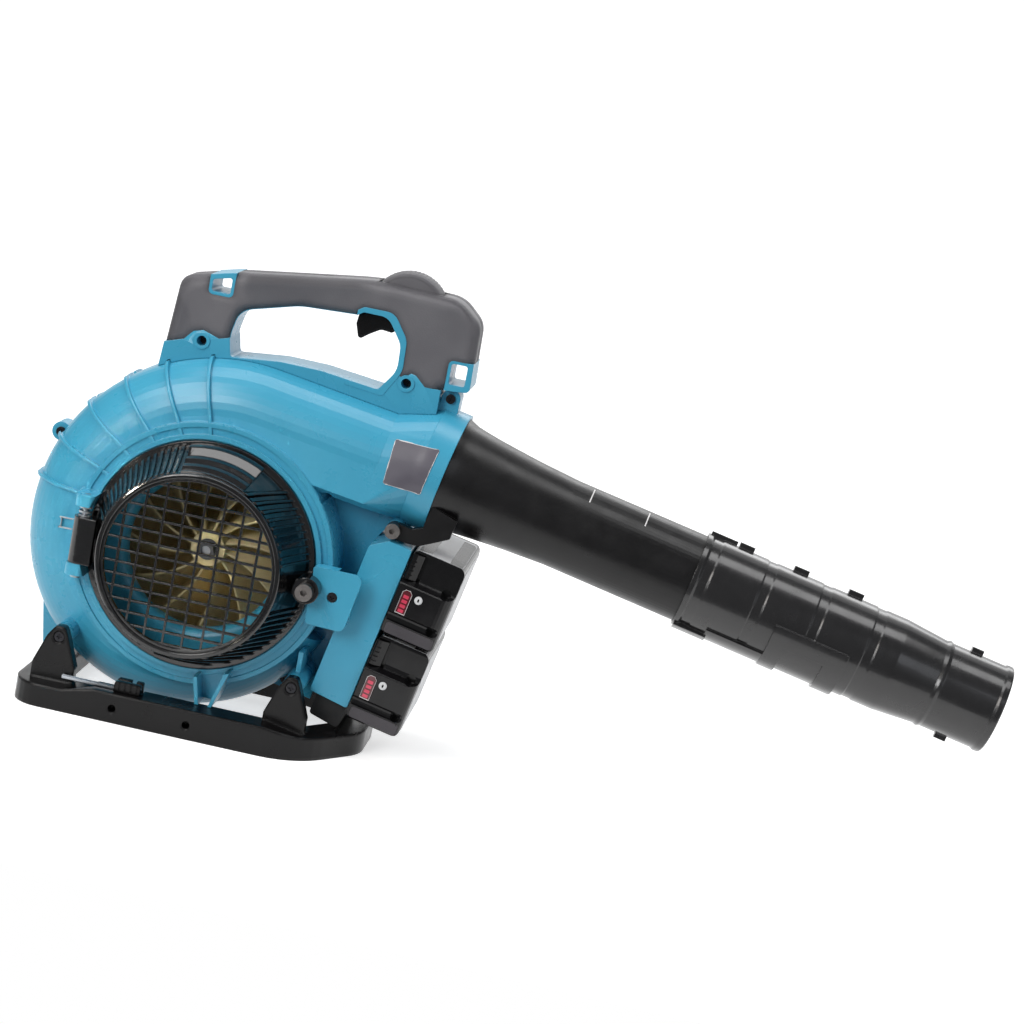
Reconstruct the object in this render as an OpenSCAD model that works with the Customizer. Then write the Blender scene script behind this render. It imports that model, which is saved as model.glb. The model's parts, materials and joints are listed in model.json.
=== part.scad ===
// Hand-held leaf blower driven by two slide-in battery packs.
// World frame: X forward along the outlet, Y away from the intake side, Z up, origin on the
// ground under the fan axis. Most pieces are drawn in the fan frame instead: x runs along the
// outlet tube, y square to it and upwards, z out of the intake side, origin on the fan axis.

/* [Stance] */
// Height of the fan axis above the ground
fan_z = 146; // [140:1:170]
// Downward pitch of the outlet tube, degrees
tube_pitch = 11.4; // [9:0.2:14]

/* [Scroll housing] */
// Radius of the scroll's round back, about the fan axis
scroll_r = 157; // [154:1:162]
// Radius of the scroll's last turn, under the fan
tail_r = 138; // [135:1:140]
// Depth of each half shell, from parting plane to side face
half_depth = 52; // [48:1:56]
// Wall of the moulded shells
shell_wall = 3; // [2.2:0.2:3.6]
// Radius of the air inlet
inlet_r = 64; // [58:1:68]
// Radius of the drum round the fan
drum_r = 111; // [108:1:114]
// Thickness of the ribs on the scroll
rib_t = 2.4; // [1.6:0.2:3.6]

/* [Fan and motor] */
// Radius of the fan's back plate
fan_r = 92; // [80:1:96]
// Number of fan blades
blade_count = 12; // [7:1:14]
// Thickness of a fan blade
blade_t = 2.2; // [1.6:0.2:3]
// Radius of the motor shaft
shaft_r = 4; // [3:0.5:5]
// Outside radius of the bearings
bearing_r = 11; // [9.5:0.5:13]
// Outside radius of the stator
stator_r = 38; // [32:1:42]

/* [Intake cover] */
// Radius of the cover's foot
cover_foot_r = 95.8; // [93:0.2:96]
// Radius of the cover's front rim
cover_rim_r = 75; // [71:1:78]
// Height of the cover over the housing's face
cover_h = 52; // [46:1:56]
// Spacing of the level grille bars
bar_step = 10; // [8:0.5:14]
// Spacing of the upright grille bars
post_step = 16.1; // [12:0.1:20]
// Width of a grille bar
bar_w = 1.8; // [1.4:0.1:2.6]

/* [Outlet tube] */
// Height of the tube axis over the fan axis, square to the tube
tube_h = 133; // [131:0.5:135]
// Outside radius of the housing's outlet collar
collar_r = 52.4; // [51:0.2:54]
// Outside radius of the rear tube's straight part
tube_r = 38; // [36:0.5:39]
// Wall of the tubes
tube_wall = 2; // [1.6:0.1:2.6]
// Length of the nozzle in front of the tube's mark
nozzle_len = 275; // [250:5:300]
// Travel of the telescopic nozzle between its end stops
nozzle_travel = 98; // [90:1:100]

/* [Battery packs] */
// Width of one pack across its rails
pack_w = 75; // [70:1:77]
// Length of one pack along its rails
pack_len = 114; // [104:1:118]
// Height of one pack below its rails
pack_h = 47; // [40:1:52]
// Distance between the two packs' centres
pack_pitch = 79; // [78.5:0.5:84]

/* [Handle] */
// Width of the handle
handle_w = 40; // [36:1:44]
// Radius of the speed wheel
wheel_r = 33; // [31:0.5:34]

/* [Base] */
// Width of the base over its side rails
base_w = 196; // [188:2:206]
// Height of the side rails in their middle
rail_h = 25; // [22:1:27]
// Spacing of the two holes in the front rail
base_hole_step = 63; // [50:1:75]
// Radius of the two holes in the front rail
base_hole_r = 3.3; // [2.5:0.1:4]

/* [Hidden] */
$fn = 64;

teal = [0.20, 0.60, 0.74];
grey_grip = [0.36, 0.35, 0.37];
black = [0.10, 0.10, 0.11];
charcoal = [0.20, 0.20, 0.21];
steel = [0.62, 0.63, 0.65];
tan_fan = [0.66, 0.56, 0.34];
pale = [0.82, 0.83, 0.86];

gap = 0.3;                   // clearance between pieces that don't fit in each other
run = 0.05;                  // radial clearance of a running fit
face_z = half_depth + 5;     // flat face round the inlet
lip_h = 3.5;                 // lip round the cover's foot
cover_z = face_z + gap;      // underside of the cover's foot
rim_flat = 14;               // straight part of the scroll's rim, each side of the parting plane
round_x = 44;                // reach of the rounding from the rim towards the fan
round_steps = 12;            // straight steps of the rounding
section_w = 80;              // width of the scroll's section, rim to inner edge
duct_slope = 3;              // rise of the duct against the tube, degrees
duct_start_a = 90 + duct_slope;
back_a = 150;                // where the top arc meets the round back
tail_a = 200;                // where the round back meets the tail arc
tail_end_a = 347;
top_r = scroll_r + 10.5;
duct_end = 104;              // where the duct starts to flare
collar_s = 138;              // where the collar starts
outlet_s = 159.5;            // front edge of the collar
top_c = (scroll_r - top_r) * [cos(back_a), sin(back_a)];
tail_c = (scroll_r - tail_r) * [cos(tail_a), sin(tail_a)];

// ---- points and outlines ----
function arc(c, r, a0, a1, n) =
    [for (i = [0:n]) c + r * [cos(a0 + (a1 - a0) * i / n), sin(a0 + (a1 - a0) * i / n)]];
function unit(v) = v / norm(v);
function turn(d) = d > 180 ? d - 360 : d < -180 ? d + 360 : d;
// Points of the fillet of radius r at corner p, between neighbours a and b
function fillet(a, p, b, r, n) =
    r < 0.01 ? [for (i = [0:n]) p] :
    let (u = unit(a - p), v = unit(b - p), half = acos(u * v) / 2,
        c = p + unit(u + v) * r / sin(half), t = r / tan(half),
        q0 = p + u * t - c, q1 = p + v * t - c,
        a0 = atan2(q0[1], q0[0]), d = turn(atan2(q1[1], q1[0]) - a0))
    arc(c, r, a0, a0 + d, n);
function xy(p) = [p[0], p[1]];
// Outline with rounded corners from a list of [x, y, radius]
function rounded(pts, n = 5) =
    let (m = len(pts))
    [for (i = [0:m - 1])
        each (pts[i][2] < 0.01 ? [xy(pts[i])] :
            fillet(xy(pts[(i + m - 1) % m]), xy(pts[i]), xy(pts[(i + 1) % m]), pts[i][2], n))];
function box_pts(x0, y0, x1, y1, r = 0) = [[x0, y0, r], [x1, y0, r], [x1, y1, r], [x0, y1, r]];

// Solid through outlines of equal length at rising heights: layers are [outline, z]
module skin(layers) {
    n = len(layers[0][0]);
    m = len(layers);
    polyhedron(
        points = [for (l = layers) for (p = l[0]) [p[0], p[1], l[1]]],
        faces = [
            [for (i = [0:n - 1]) i],
            [for (i = [0:n - 1]) m * n - 1 - i],
            for (j = [0:m - 2]) for (i = [0:n - 1])
                each [[j * n + i, (j + 1) * n + i, (j + 1) * n + (i + 1) % n],
                    [j * n + i, (j + 1) * n + (i + 1) % n, j * n + (i + 1) % n]]]);
}

// ---- frames ----
module at_fan() {
    translate([0, 0, fan_z])
        rotate([0, tube_pitch, 0])
            rotate([90, 0, 0])
                children();
}
// Along the outlet tube: z forward, y up, x away from the intake side
module at_tube(s = 0) {
    at_fan()
        translate([s, tube_h, 0])
            rotate([0, 90, 0])
                children();
}
// Upright and square to the ground: x forward, y up, z out of the intake side
module upright() {
    rotate([90, 0, 0])
        children();
}
// Fan frame turned level, for what follows the ground and not the tube
module level() {
    rotate(tube_pitch)
        children();
}
// A world point [X, Z] in the fan frame
function from_world(p) =
    let (x = p[0], y = p[1] - fan_z)
    [x * cos(tube_pitch) - y * sin(tube_pitch), x * sin(tube_pitch) + y * cos(tube_pitch)];

module rod(r, z0, z1) {
    translate([0, 0, z0])
        cylinder(r = r, h = z1 - z0);
}
module tube(ro, ri, z0, z1) {
    difference() {
        rod(ro, z0, z1);
        rod(ri, z0 - 1, z1 + 1);
    }
}
module plate(pts, z0, z1) {
    translate([0, 0, z0])
        linear_extrude(z1 - z0)
            polygon(pts);
}

// ---- scroll housing ----
// Half section of the scroll, x from the axis of its arc, y out of the parting plane
function section(r, o) = concat(
    [[r - section_w, 0], [r - o, 0]],
    [for (i = [0:round_steps]) let (a = 90 * i / round_steps) [r - round_x + (round_x - o) * cos(a),
        rim_flat + (half_depth - rim_flat - o) * sin(a)]],
    [[r - section_w, face_z - 0.5 - o]]);
module scroll_arc(c, r, a0, a1, o) {
    translate(c)
        rotate(a0)
            rotate_extrude(angle = a1 - a0)
                polygon(section(r, o));
}
// Half section where the duct starts to flare
function duct_section(o) = concat(
    [for (p = section(top_r, o)) if (p[0] > top_r - section_w + 1) p],
    [[top_r - section_w + 6 + o, face_z - 0.8 - o], [top_r - section_w + o, face_z - 12 - o],
        [top_r - section_w + o, 0]]);
module duct_run(o, x0, x1) {
    translate(top_c)
        rotate(duct_slope)
            translate([x0, 0, 0])
                rotate([90, 0, 90])
                    linear_extrude(x1 - x0)
                        polygon(duct_section(o));
}
// Straight band over the join of two arcs
module join_band(c, r, a, o) {
    translate(c)
        rotate(a)
            translate([0, 0.3, 0])
                rotate([90, 0, 0])
                    linear_extrude(0.6)
                        polygon(section(r + 0.12, o));
}
// Top arc, round back and tail
module scroll_back(o) {
    scroll_arc(top_c, top_r, duct_start_a, back_a - 0.05, o);
    join_band([0, 0], scroll_r, back_a, o);
    scroll_arc([0, 0], scroll_r, back_a + 0.05, tail_a - 0.06, o);
    join_band(tail_c, tail_r, tail_a, o);
    scroll_arc(tail_c, tail_r, tail_a + 0.06, tail_end_a - o / 2, o);
}
// Scroll, drum, duct and collar as one form, o inside the outer skin
module housing_form(o) {
    scroll_back(o);
    duct_run(o, 0, duct_end);
    rod(drum_r - o, 0, face_z - o);
    flare(o);
    collar_half(o);
}
// From the duct's section to the round collar
module flare(o) {
    hull() {
        duct_run(o + 0.12, duct_end - 0.5, duct_end - 0.2);
        translate([collar_s, tube_h, 0])
            rotate([0, 90, 0])
                linear_extrude(0.3)
                    polygon(arc([0, 0], collar_r - o - 0.6, 90, 270, 16));
    }
}
module collar_half(o) {
    translate([collar_s, tube_h, 0])
        rotate([0, 90, 0])
            rotate(90)
                rotate_extrude(angle = 180)
                    square([collar_r - o, outlet_s - collar_s + (o > 0 ? 1 : 0)]);
}
// Web between drum, duct and battery housing
web_right = 124.7;
web_z = 10;
module web() {
    plate([[70, -92], [web_right, -92], [web_right, 60], [130, 72], [148, 72], [148, 100], [20, 100],
        [60, 40]], 0, web_z);
}
housing_ears = [[-155.4, 37], [138.4, 194.2], [77.6, 84.3], [99, -84]];
ear_r = 8;
ear_bore_r = 2.1;
foot_x = [-101, 97];         // world X of the base's screws
foot_h = 57;                 // world Z of the base's screws
foot_z = 70;                 // where the base's posts meet the housing's feet
foot_r = 8.5;
bracket_screw_p = [115, 14.6];
cover_bolt_p = [cover_foot_r - 1.8, 14.6];
tube_bolt_p = [138.3, 80.6];
tube_boss_r = 6.8;
tube_boss_z = 36;
module foot_bosses() {
    for (x = foot_x)
        translate(from_world([x, foot_h]))
            rod(foot_r, 0, foot_z - gap);
    // stiffening fin beside the front foot, down to the web
    translate(from_world([foot_x[1], foot_h]))
        level()
            plate(box2(-2, 0, 2, 26), 0, foot_z - 12);
}
// Height of the scroll's side face at distance r from the centre of an arc of radius big
function side_z(r, big) =
    r < big - round_x ? face_z - (face_z - half_depth) * (r - big + section_w) / (section_w - round_x) :
    rim_flat + (half_depth - rim_flat) * sqrt(max(0, 1 - pow((r - big + round_x) / round_x, 2)));
rib_a = [for (i = [0:5]) 117.5 + 13.8 * i];
rib_off = 19;                // the ribs point past the fan axis by this much
rib_foot = 5;                // height over the parting plane at which a rib ends
rib_up = 2.2;
// Place along the plane of rib a where it is r from the centre c of the scroll's arc
function rib_x(r, a, c) =
    let (m = c * [cos(a), sin(a)], k = c * [sin(a), -cos(a)])
    m + sqrt(m * m - rib_off * rib_off + 2 * rib_off * k - c * c + r * r);
// Edge of rib a in that plane, up above the skin: x outwards, y out of the parting plane
function rib_edge(a, up) =
    let (c = a < 145 ? top_c : [0, 0], big = a < 145 ? top_r : scroll_r)
    [for (t = [90:-9:0]) [rib_x(big - round_x + (round_x + up) * cos(t), a, c),
        rim_flat + (half_depth - rim_flat + up) * sin(t)]];
module ribs(rib_list) {
    for (a = rib_list)
        let (e = rib_edge(a, rib_up), low = rib_edge(a, -shell_wall / 2), end = len(e) - 1)
        rotate(a)
            translate([0, -rib_off + rib_t / 2, 0])
                rotate([90, 0, 0])
                    linear_extrude(rib_t)
                        polygon(concat([[cover_foot_r + 2.4, face_z - shell_wall / 2],
                            [cover_foot_r + 2.4, face_z + 1.8]], e, [[e[end][0], rib_foot],
                            [low[end][0], rib_foot - 2]], rev(low)));
}
hinge_x = -cover_foot_r - 1.7;   // world X of the cover's hinge
hinge_z = 18;                // hinge axis out from the inlet face
hinge_out = face_z + hinge_z;
pin_r = 2.5;
barrel_r = 8;
barrel_lo = 122;             // world Z of the barrel's ends
barrel_hi = 161;
lug_t = 10;
lug_gap = 9;                 // room for the spring washer over the barrel
module hinge_lugs() {
    for (z = [barrel_lo - gap - lug_t, barrel_hi + lug_gap])
        translate([0, 0, z])
            difference() {
                linear_extrude(lug_t)
                    polygon(rounded([[hinge_x - 8, -hinge_out - 8, 6], [hinge_x + 8, -hinge_out - 8, 6],
                        [hinge_x + 8, -half_depth + 4, 0], [hinge_x - 12, -half_depth + 10, 0]]));
                translate([hinge_x, -hinge_out, -1])
                    cylinder(r = pin_r + run, h = lug_t + 2);
            }
}
// Two thin ribs that meet over the side rail, with a web behind them
module middle_leg() {
    foot = rail_h + gap - fan_z;
    difference() {
        level() {
            plate([[20, foot], [23, foot], [17.5, foot + 27], [14, foot + 27]], 44, foot_z + 8);
            plate([[31, foot], [34, foot], [44, foot + 32], [40, foot + 32]], 44, foot_z + 8);
            plate([[21, foot + 2], [33, foot + 2], [42, foot + 32], [16, foot + 27]], 44, foot_z - 10);
        }
        // clear of the cover
        rod(cover_foot_r + 3, face_z - 1, foot_z + 9);
    }
}
// Flat leg from the scroll's back down to the cross bar of the base
module rear_leg() {
    foot = rail_h - 6 + gap - fan_z;
    level()
        plate([[-130, foot], [-114, foot], [-110, foot + 40], [-128, foot + 57], [-137, foot + 46]], 0, web_z);
}
module half_shell(rib_list) {
    difference() {
        union() {
            housing_form(0);
            web();
            foot_bosses();
            middle_leg();
            rear_leg();
            for (p = housing_ears)
                translate(p)
                    rod(ear_r, 0, web_z);
            // neck under the top ear and behind the tube's bolt
            plate([[128, 168], [150, 174], [146, 196], [132, 194]], 0, web_z);
            translate(tube_bolt_p)
                rod(tube_boss_r, 0, tube_boss_z);
            ribs(rib_list);
        }
        housing_form(shell_wall);
        for (p = housing_ears)
            translate(p) {
                rod(ear_bore_r, -1, web_z + 1);
                rod(4.5, web_z, face_z + 2);
            }
        for (x = foot_x)
            translate(from_world([x, foot_h]))
                rod(2, foot_z - 16, foot_z + 1);
        translate(tube_bolt_p)
            rod(2.9, 12, tube_boss_z + 1);
    }
}
module front_shell() {
    color(teal)
        union() {
            at_fan()
                difference() {
                    union() {
                        half_shell(rib_a);
                        // lip round the cover's foot, step round the drum, post of the bracket's screw
                        tube(cover_foot_r + 5.2, cover_foot_r + 1.2, face_z - 1, face_z + lip_h);
                        tube(drum_r - 0.5, drum_r - 4.5, face_z - 2, face_z + 1.4);
                        translate(bracket_screw_p)
                            rod(6, 6, face_z - 0.4);
                        tube(inlet_r + 10.5, inlet_r - 2, face_z - 13, face_z - 1.2);
                    }
                    // bell mouth of the inlet
                    rotate_extrude()
                        polygon(concat([[0, face_z + 9], [inlet_r + 8, face_z + 9]],
                            arc([inlet_r + 8, face_z - 8], 8, 90, 180, 6),
                            [[inlet_r, face_z - 20], [0, face_z - 20]]));
                    translate(bracket_screw_p)
                        rod(2, face_z - 16, face_z + 1);
                }
            difference() {
                hinge_lugs();
                at_fan()
                    rod(cover_foot_r + gap, face_z - 1, hinge_out + 20);
            }
        }
}
motor_wall_z = 50;           // inside of the rear shell's back wall
module rear_shell() {
    color(teal)
        at_fan()
            difference() {
                union() {
                    mirror([0, 0, 1])
                        half_shell([for (i = [0:4]) rib_a[i]]);
                    // motor cup and its bearing seat
                    tube(stator_r + 4, stator_r + 0.2, -face_z - 22, -face_z + 0.9);
                    tube(bearing_r + 5, shaft_r + 3, -face_z + 0.6, -motor_wall_z + 4);
                    tube(motor_cover_r + 4, motor_cover_r + 1, -face_z - 3, -face_z + 1.1);
                    for (a = [45:90:315])
                        rotate(a)
                            translate([stator_r + 12, 0, 0])
                                rod(5, -face_z + 1.3, -motor_wall_z + 6);
                }
                for (a = [45:90:315])
                    rotate(a)
                        translate([stator_r + 12, 0, 0])
                            rod(2.1, -face_z - 1, -motor_wall_z + 3);
                // cooling slots round the bearing seat
                for (a = [0:45:315])
                    rotate(a)
                        translate([bearing_r + 10, -3, -face_z - 1])
                            cube([stator_r - bearing_r - 14, 6, shell_wall + 8]);
                rod(bearing_r, -face_z - 1, -face_z + bearing_w + 0.1);
                rod(shaft_r + 3, -face_z - 1, 0);
            }
}

// ---- fan and motor ----
blade_z0 = -30;
blade_top_in = 34;
blade_top_out = 24;
hub_r = 15;
motor_cover_r = 66;
motor_cover_d = 40;          // depth of the cover behind the back wall
rotor_len = 22;
rotor_back = -face_z - 6;    // front end of stator and rotor
rear_bearing_z = -face_z - motor_cover_d + 4;
bearing_w = 7;
module motor_cover() {
    color(black)
        at_fan()
            difference() {
                union() {
                    difference() {
                        rotate_extrude()
                            polygon(concat([[0, -face_z - motor_cover_d - 3]],
                                arc([motor_cover_r - 12, -face_z - motor_cover_d + 9], 12, 270, 360, 5),
                                [[motor_cover_r, -face_z - gap], [0, -face_z - gap]]));
                        rotate_extrude()
                            polygon([[0, -face_z - motor_cover_d], [motor_cover_r - 10, -face_z - motor_cover_d],
                                [motor_cover_r - 3, -face_z - motor_cover_d + 8],
                                [motor_cover_r - 3, -face_z], [0, -face_z]]);
                    }
                    rod(bearing_r + 4, -face_z - motor_cover_d - 1, rear_bearing_z + bearing_w);
                    for (a = [45:90:315])
                        rotate(a)
                            translate([stator_r + 12, 0, 0])
                                rod(6.4, -face_z - motor_cover_d - 1, -face_z - gap);
                }
                rod(bearing_r, rear_bearing_z, -face_z);
                for (a = [45:90:315])
                    rotate(a)
                        translate([stator_r + 12, 0, 0])
                            rod(2.1, -face_z - motor_cover_d - 4, -face_z);
                for (a = [45:90:315])
                    rotate(a)
                        translate([stator_r + 12, 0, 0])
                            rod(4.2, -face_z - motor_cover_d - 4, -motor_screw_z);
                for (a = [0:15:345])
                    rotate(a)
                        translate([bearing_r + 7, -1.6, -face_z - motor_cover_d - 4])
                            cube([motor_cover_r - bearing_r - 19, 3.2, 5]);
                for (a = [7.5:15:352.5])
                    rotate(a)
                        translate([motor_cover_r - 6, -2, -face_z - motor_cover_d + 14])
                            cube([8, 4, 16]);
            }
}
module stator() {
    color([0.55, 0.35, 0.22])
        at_fan()
            difference() {
                rod(stator_r, rotor_back - rotor_len, rotor_back);
                rod(stator_r * 0.56, rotor_back - rotor_len - 1, rotor_back + 1);
                for (a = [0:30:330])
                    rotate(a)
                        translate([stator_r * 0.72, 0, 0])
                            rod(2.4, rotor_back - rotor_len - 1, rotor_back + 1);
            }
}
module rotor() {
    color(steel)
        at_fan() {
            rod(stator_r * 0.56 - 0.8, rotor_back - rotor_len, rotor_back);
            rod(shaft_r, rear_bearing_z + 0.4, blade_top_in + 5);
        }
}
module bearing(z) {
    color(steel)
        at_fan()
            tube(bearing_r, shaft_r + run, z, z + bearing_w);
}
module front_bearing() bearing(-face_z);
module rear_bearing() bearing(rear_bearing_z);
// One backward-curved blade, from the hub to the rim
function blade_pt(t, side) =
    let (r = hub_r - 3 + (fan_r - hub_r + 2) * t, a = -46 * t + 14 * t * t)
    r * [cos(a), sin(a)] + side * blade_t / 2 * [-sin(a - 30 * t), cos(a - 30 * t)];
module impeller() {
    color(tan_fan)
        at_fan()
            difference() {
                union() {
                    rod(fan_r, blade_z0, blade_z0 + 3);
                    rotate_extrude()
                        polygon([[0, blade_z0], [34, blade_z0], [34, blade_z0 + 3], [22, blade_z0 + 14],
                            [hub_r + 1, blade_top_in - 12], [hub_r, blade_top_in], [0, blade_top_in]]);
                    intersection() {
                        for (i = [0:blade_count - 1])
                            rotate(i * 360 / blade_count)
                                plate(concat([for (k = [0:7]) blade_pt(k / 7, 1)],
                                    [for (k = [7:-1:0]) blade_pt(k / 7, -1)]), blade_z0 + 1, blade_top_in);
                        rotate_extrude()
                            polygon([[0, blade_z0], [fan_r, blade_z0], [fan_r, blade_top_out],
                                [fan_r * 0.6, blade_top_in - 2], [30, blade_top_in - 2],
                                [hub_r, blade_top_in - 8], [0, blade_top_in - 8]]);
                    }
                }
                rod(shaft_r, blade_z0 - 1, blade_top_in + 1);
            }
}
module fan_nut() {
    color(steel)
        at_fan() {
            difference() {
                union() {
                    tube(9, shaft_r, blade_top_in, blade_top_in + 1.6);
                    translate([0, 0, blade_top_in + 1.6])
                        cylinder(r = 7.5, h = 6, $fn = 6);
                }
                rod(shaft_r, blade_top_in - 1, blade_top_in + 9);
            }
        }
}

// ---- intake cover ----
cover_top = cover_z + cover_h;
cover_t = 2.6;
dome_top = cover_top - 4;    // where the dome meets the rim's bead
// Outside of the dome from foot to rim, o inwards
function dome(o) = [for (i = [0:6]) let (t = i / 6)
    [cover_rim_r + 1 + (cover_foot_r - 3 - cover_rim_r - 1) * pow(1 - t, 1.25) - o,
        cover_z + 2 + (dome_top - cover_z - 2) * t]];
function rev(l) = [for (i = [len(l) - 1:-1:0]) l[i]];
boss_r = 11;
boss_z = 86;                 // seat of the bolt's head
bracket_boss_r = 7;
bracket_z = 72;              // outer face of the bracket
module dome_band(out, in) {
    rotate_extrude()
        polygon(concat(dome(-out), rev(dome(in))));
}
module cover_ribs() {
    // fins round the hinge side
    for (a = [concat([for (a = [108:3.8:168]) a], [for (a = [208:4.2:246]) a])])
        for (b = a)
            rotate(b - 0.9)
                rotate_extrude(angle = 1.8)
                    polygon(concat(dome(-1.8), rev(dome(1))));
    // level fins on the other side
    intersection() {
        dome_band(1.8, 1);
        union() {
            for (y = [16:5.8:70])
                translate([24, y - 0.8, cover_z])
                    cube([80, 1.6, cover_h]);
            for (y = [-90:5.8:-24])
                translate([y < -60 ? -24 : 14, y - 0.8, cover_z])
                    cube([140, 1.6, cover_h]);
        }
    }
    // smooth stepped panel on top
    rotate(64)
        rotate_extrude(angle = 40)
            polygon(concat(dome(-1.9), rev(dome(1))));
}
module intake_cover() {
    color(black)
        at_fan()
            difference() {
                union() {
                    dome_band(0, cover_t);
                    tube(cover_foot_r, cover_foot_r - 7, cover_z, cover_z + 5.2);
                    level()
                        cover_ribs();
                    // rim bead
                    rotate_extrude()
                        polygon(rounded([[cover_rim_r - 3, dome_top - 4, 0], [cover_rim_r + 1.2, dome_top - 4, 0],
                            [cover_rim_r + 1.6, cover_top, 1.6], [cover_rim_r - 3, cover_top, 1.2]], 3));
                    // boss of the bolt
                    translate(cover_bolt_p)
                        rod(boss_r, face_z + lip_h + 0.4, boss_z);
                    // arm and barrel of the hinge
                    hinge_arm();
                }
                translate(cover_bolt_p) {
                    rod(bracket_boss_r + 0.9, cover_z - 2, bracket_z + gap);
                    rod(3.3, cover_z, boss_z + 1);
                }
                // notch over the bracket
                plate(rounded(bracket_pts(0.5)), face_z + 1, bracket_z + gap);
                level()
                    translate([hinge_x, barrel_lo - fan_z - 1, hinge_out])
                        rotate([-90, 0, 0])
                            cylinder(r = pin_r + run, h = barrel_hi - barrel_lo + 2);
            }
}
module hinge_arm() {
    level()
        translate([hinge_x, barrel_lo - fan_z, hinge_out])
            rotate([-90, 0, 0]) {
                cylinder(r = barrel_r, h = barrel_hi - barrel_lo);
                translate([0, -barrel_r, 0])
                    cube([barrel_r + 4, barrel_r + 7, barrel_hi - barrel_lo]);
            }
}
grille_r = cover_rim_r - 3;
grille_t = 3;
grille_z = cover_top - 3.5;
module intake_grille() {
    color(black)
        at_fan()
            level() {
                tube(grille_r, grille_r - 2.4, grille_z - grille_t, grille_z + 1.5);
                intersection() {
                    rod(grille_r - 1, grille_z - grille_t, grille_z);
                    union() {
                        for (i = [-floor(grille_r / bar_step):floor(grille_r / bar_step)])
                            translate([-grille_r, i * bar_step + 1.7 - bar_w / 2, grille_z - grille_t])
                                cube([2 * grille_r, bar_w, grille_t]);
                        for (i = [-floor(grille_r / post_step):floor(grille_r / post_step)])
                            translate([i * post_step + 6 - bar_w / 2, -grille_r, grille_z - grille_t])
                                cube([bar_w, 2 * grille_r, grille_t]);
                    }
                }
            }
}
module hinge_pin() {
    color(steel)
        translate([hinge_x, -hinge_out, barrel_lo - gap - lug_t - 1]) {
            cylinder(r = pin_r, h = barrel_hi - barrel_lo + 2 * lug_t + gap + lug_gap + 1);
            translate([0, 0, -1.5])
                cylinder(r = pin_r + 1.5, h = 2);
        }
}
insert_r = 3.8;
bolt_r = 2.9;
bolt_tip_z = bracket_z - 8;
module cover_bolt() {
    color([0.3, 0.3, 0.31])
        at_fan()
            translate(cover_bolt_p)
                difference() {
                    union() {
                        rod(bolt_r, bolt_tip_z, boss_z + 1);
                        rod(7.2, boss_z, boss_z + 8);
                    }
                    translate([0, 0, boss_z + 4])
                        cylinder(r = 3, h = 5, $fn = 6);
                }
}
// Outline of the bracket: level top and bottom, right edge square to the tube
function bracket_pts(o) = [for (p = [[cover_foot_r + 0.2 - o, 160.5 + o, 3], [cover_foot_r + 1.2 - o, 111.5 - o, 3],
    [129.5 + o, 110.5 - o, 6], [138.6 + o, 160 + o, 6]])
    concat(from_world([p[0], p[1]]), p[2])];
module cover_bracket() {
    color(teal)
        at_fan()
            difference() {
                union() {
                    plate(rounded(bracket_pts(0)), face_z + 1.7, bracket_z);
                    translate(cover_bolt_p)
                        rod(bracket_boss_r, face_z + gap, bracket_z);
                    translate(bracket_screw_p)
                        rod(6, face_z + 0.1, bracket_z);
                }
                // hollow underneath, open towards the web
                difference() {
                    plate([[112, -20], [131, -20], [139, 44], [112, 44]], face_z, bracket_z - 3);
                    translate(bracket_screw_p)
                        rod(6, face_z, bracket_z);
                }
                // clear of the cover's dome and lip
                difference() {
                    rod(cover_foot_r + 1.2, face_z - 1, bracket_z + 1);
                    translate(cover_bolt_p)
                        rod(bracket_boss_r, face_z - 1, bracket_z + 1);
                }
                tube(cover_foot_r + 5.4, cover_foot_r + 0.5, face_z - 1, face_z + lip_h + 0.2);
                tube(drum_r + 0.3, drum_r - 4.3, face_z - 1, face_z + 1.6);
                translate(cover_bolt_p)
                    rod(insert_r, face_z - 1, bracket_z + 1);
                translate(bracket_screw_p) {
                    rod(2.2, face_z, bracket_z + 1);
                    rod(4.4, bracket_z - 3, bracket_z + 1);
                }
            }
}
module bracket_screw() {
    color(steel)
        at_fan()
            translate(bracket_screw_p)
                screw(bracket_z - 3, 1.95, 4, 16, 2.4);
}
// Screw along -z: head on seat z, shank radius r, head radius hr, length l, head height hh
module screw(z, r, hr, l, hh) {
    difference() {
        union() {
            rod(r, z - l, z + 0.1);
            rod(hr, z, z + hh);
        }
        for (a = [0, 90])
            rotate(a)
                translate([-hr * 0.55, -0.6, z + hh * 0.4])
                    cube([hr * 1.1, 1.2, hh]);
    }
}

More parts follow.
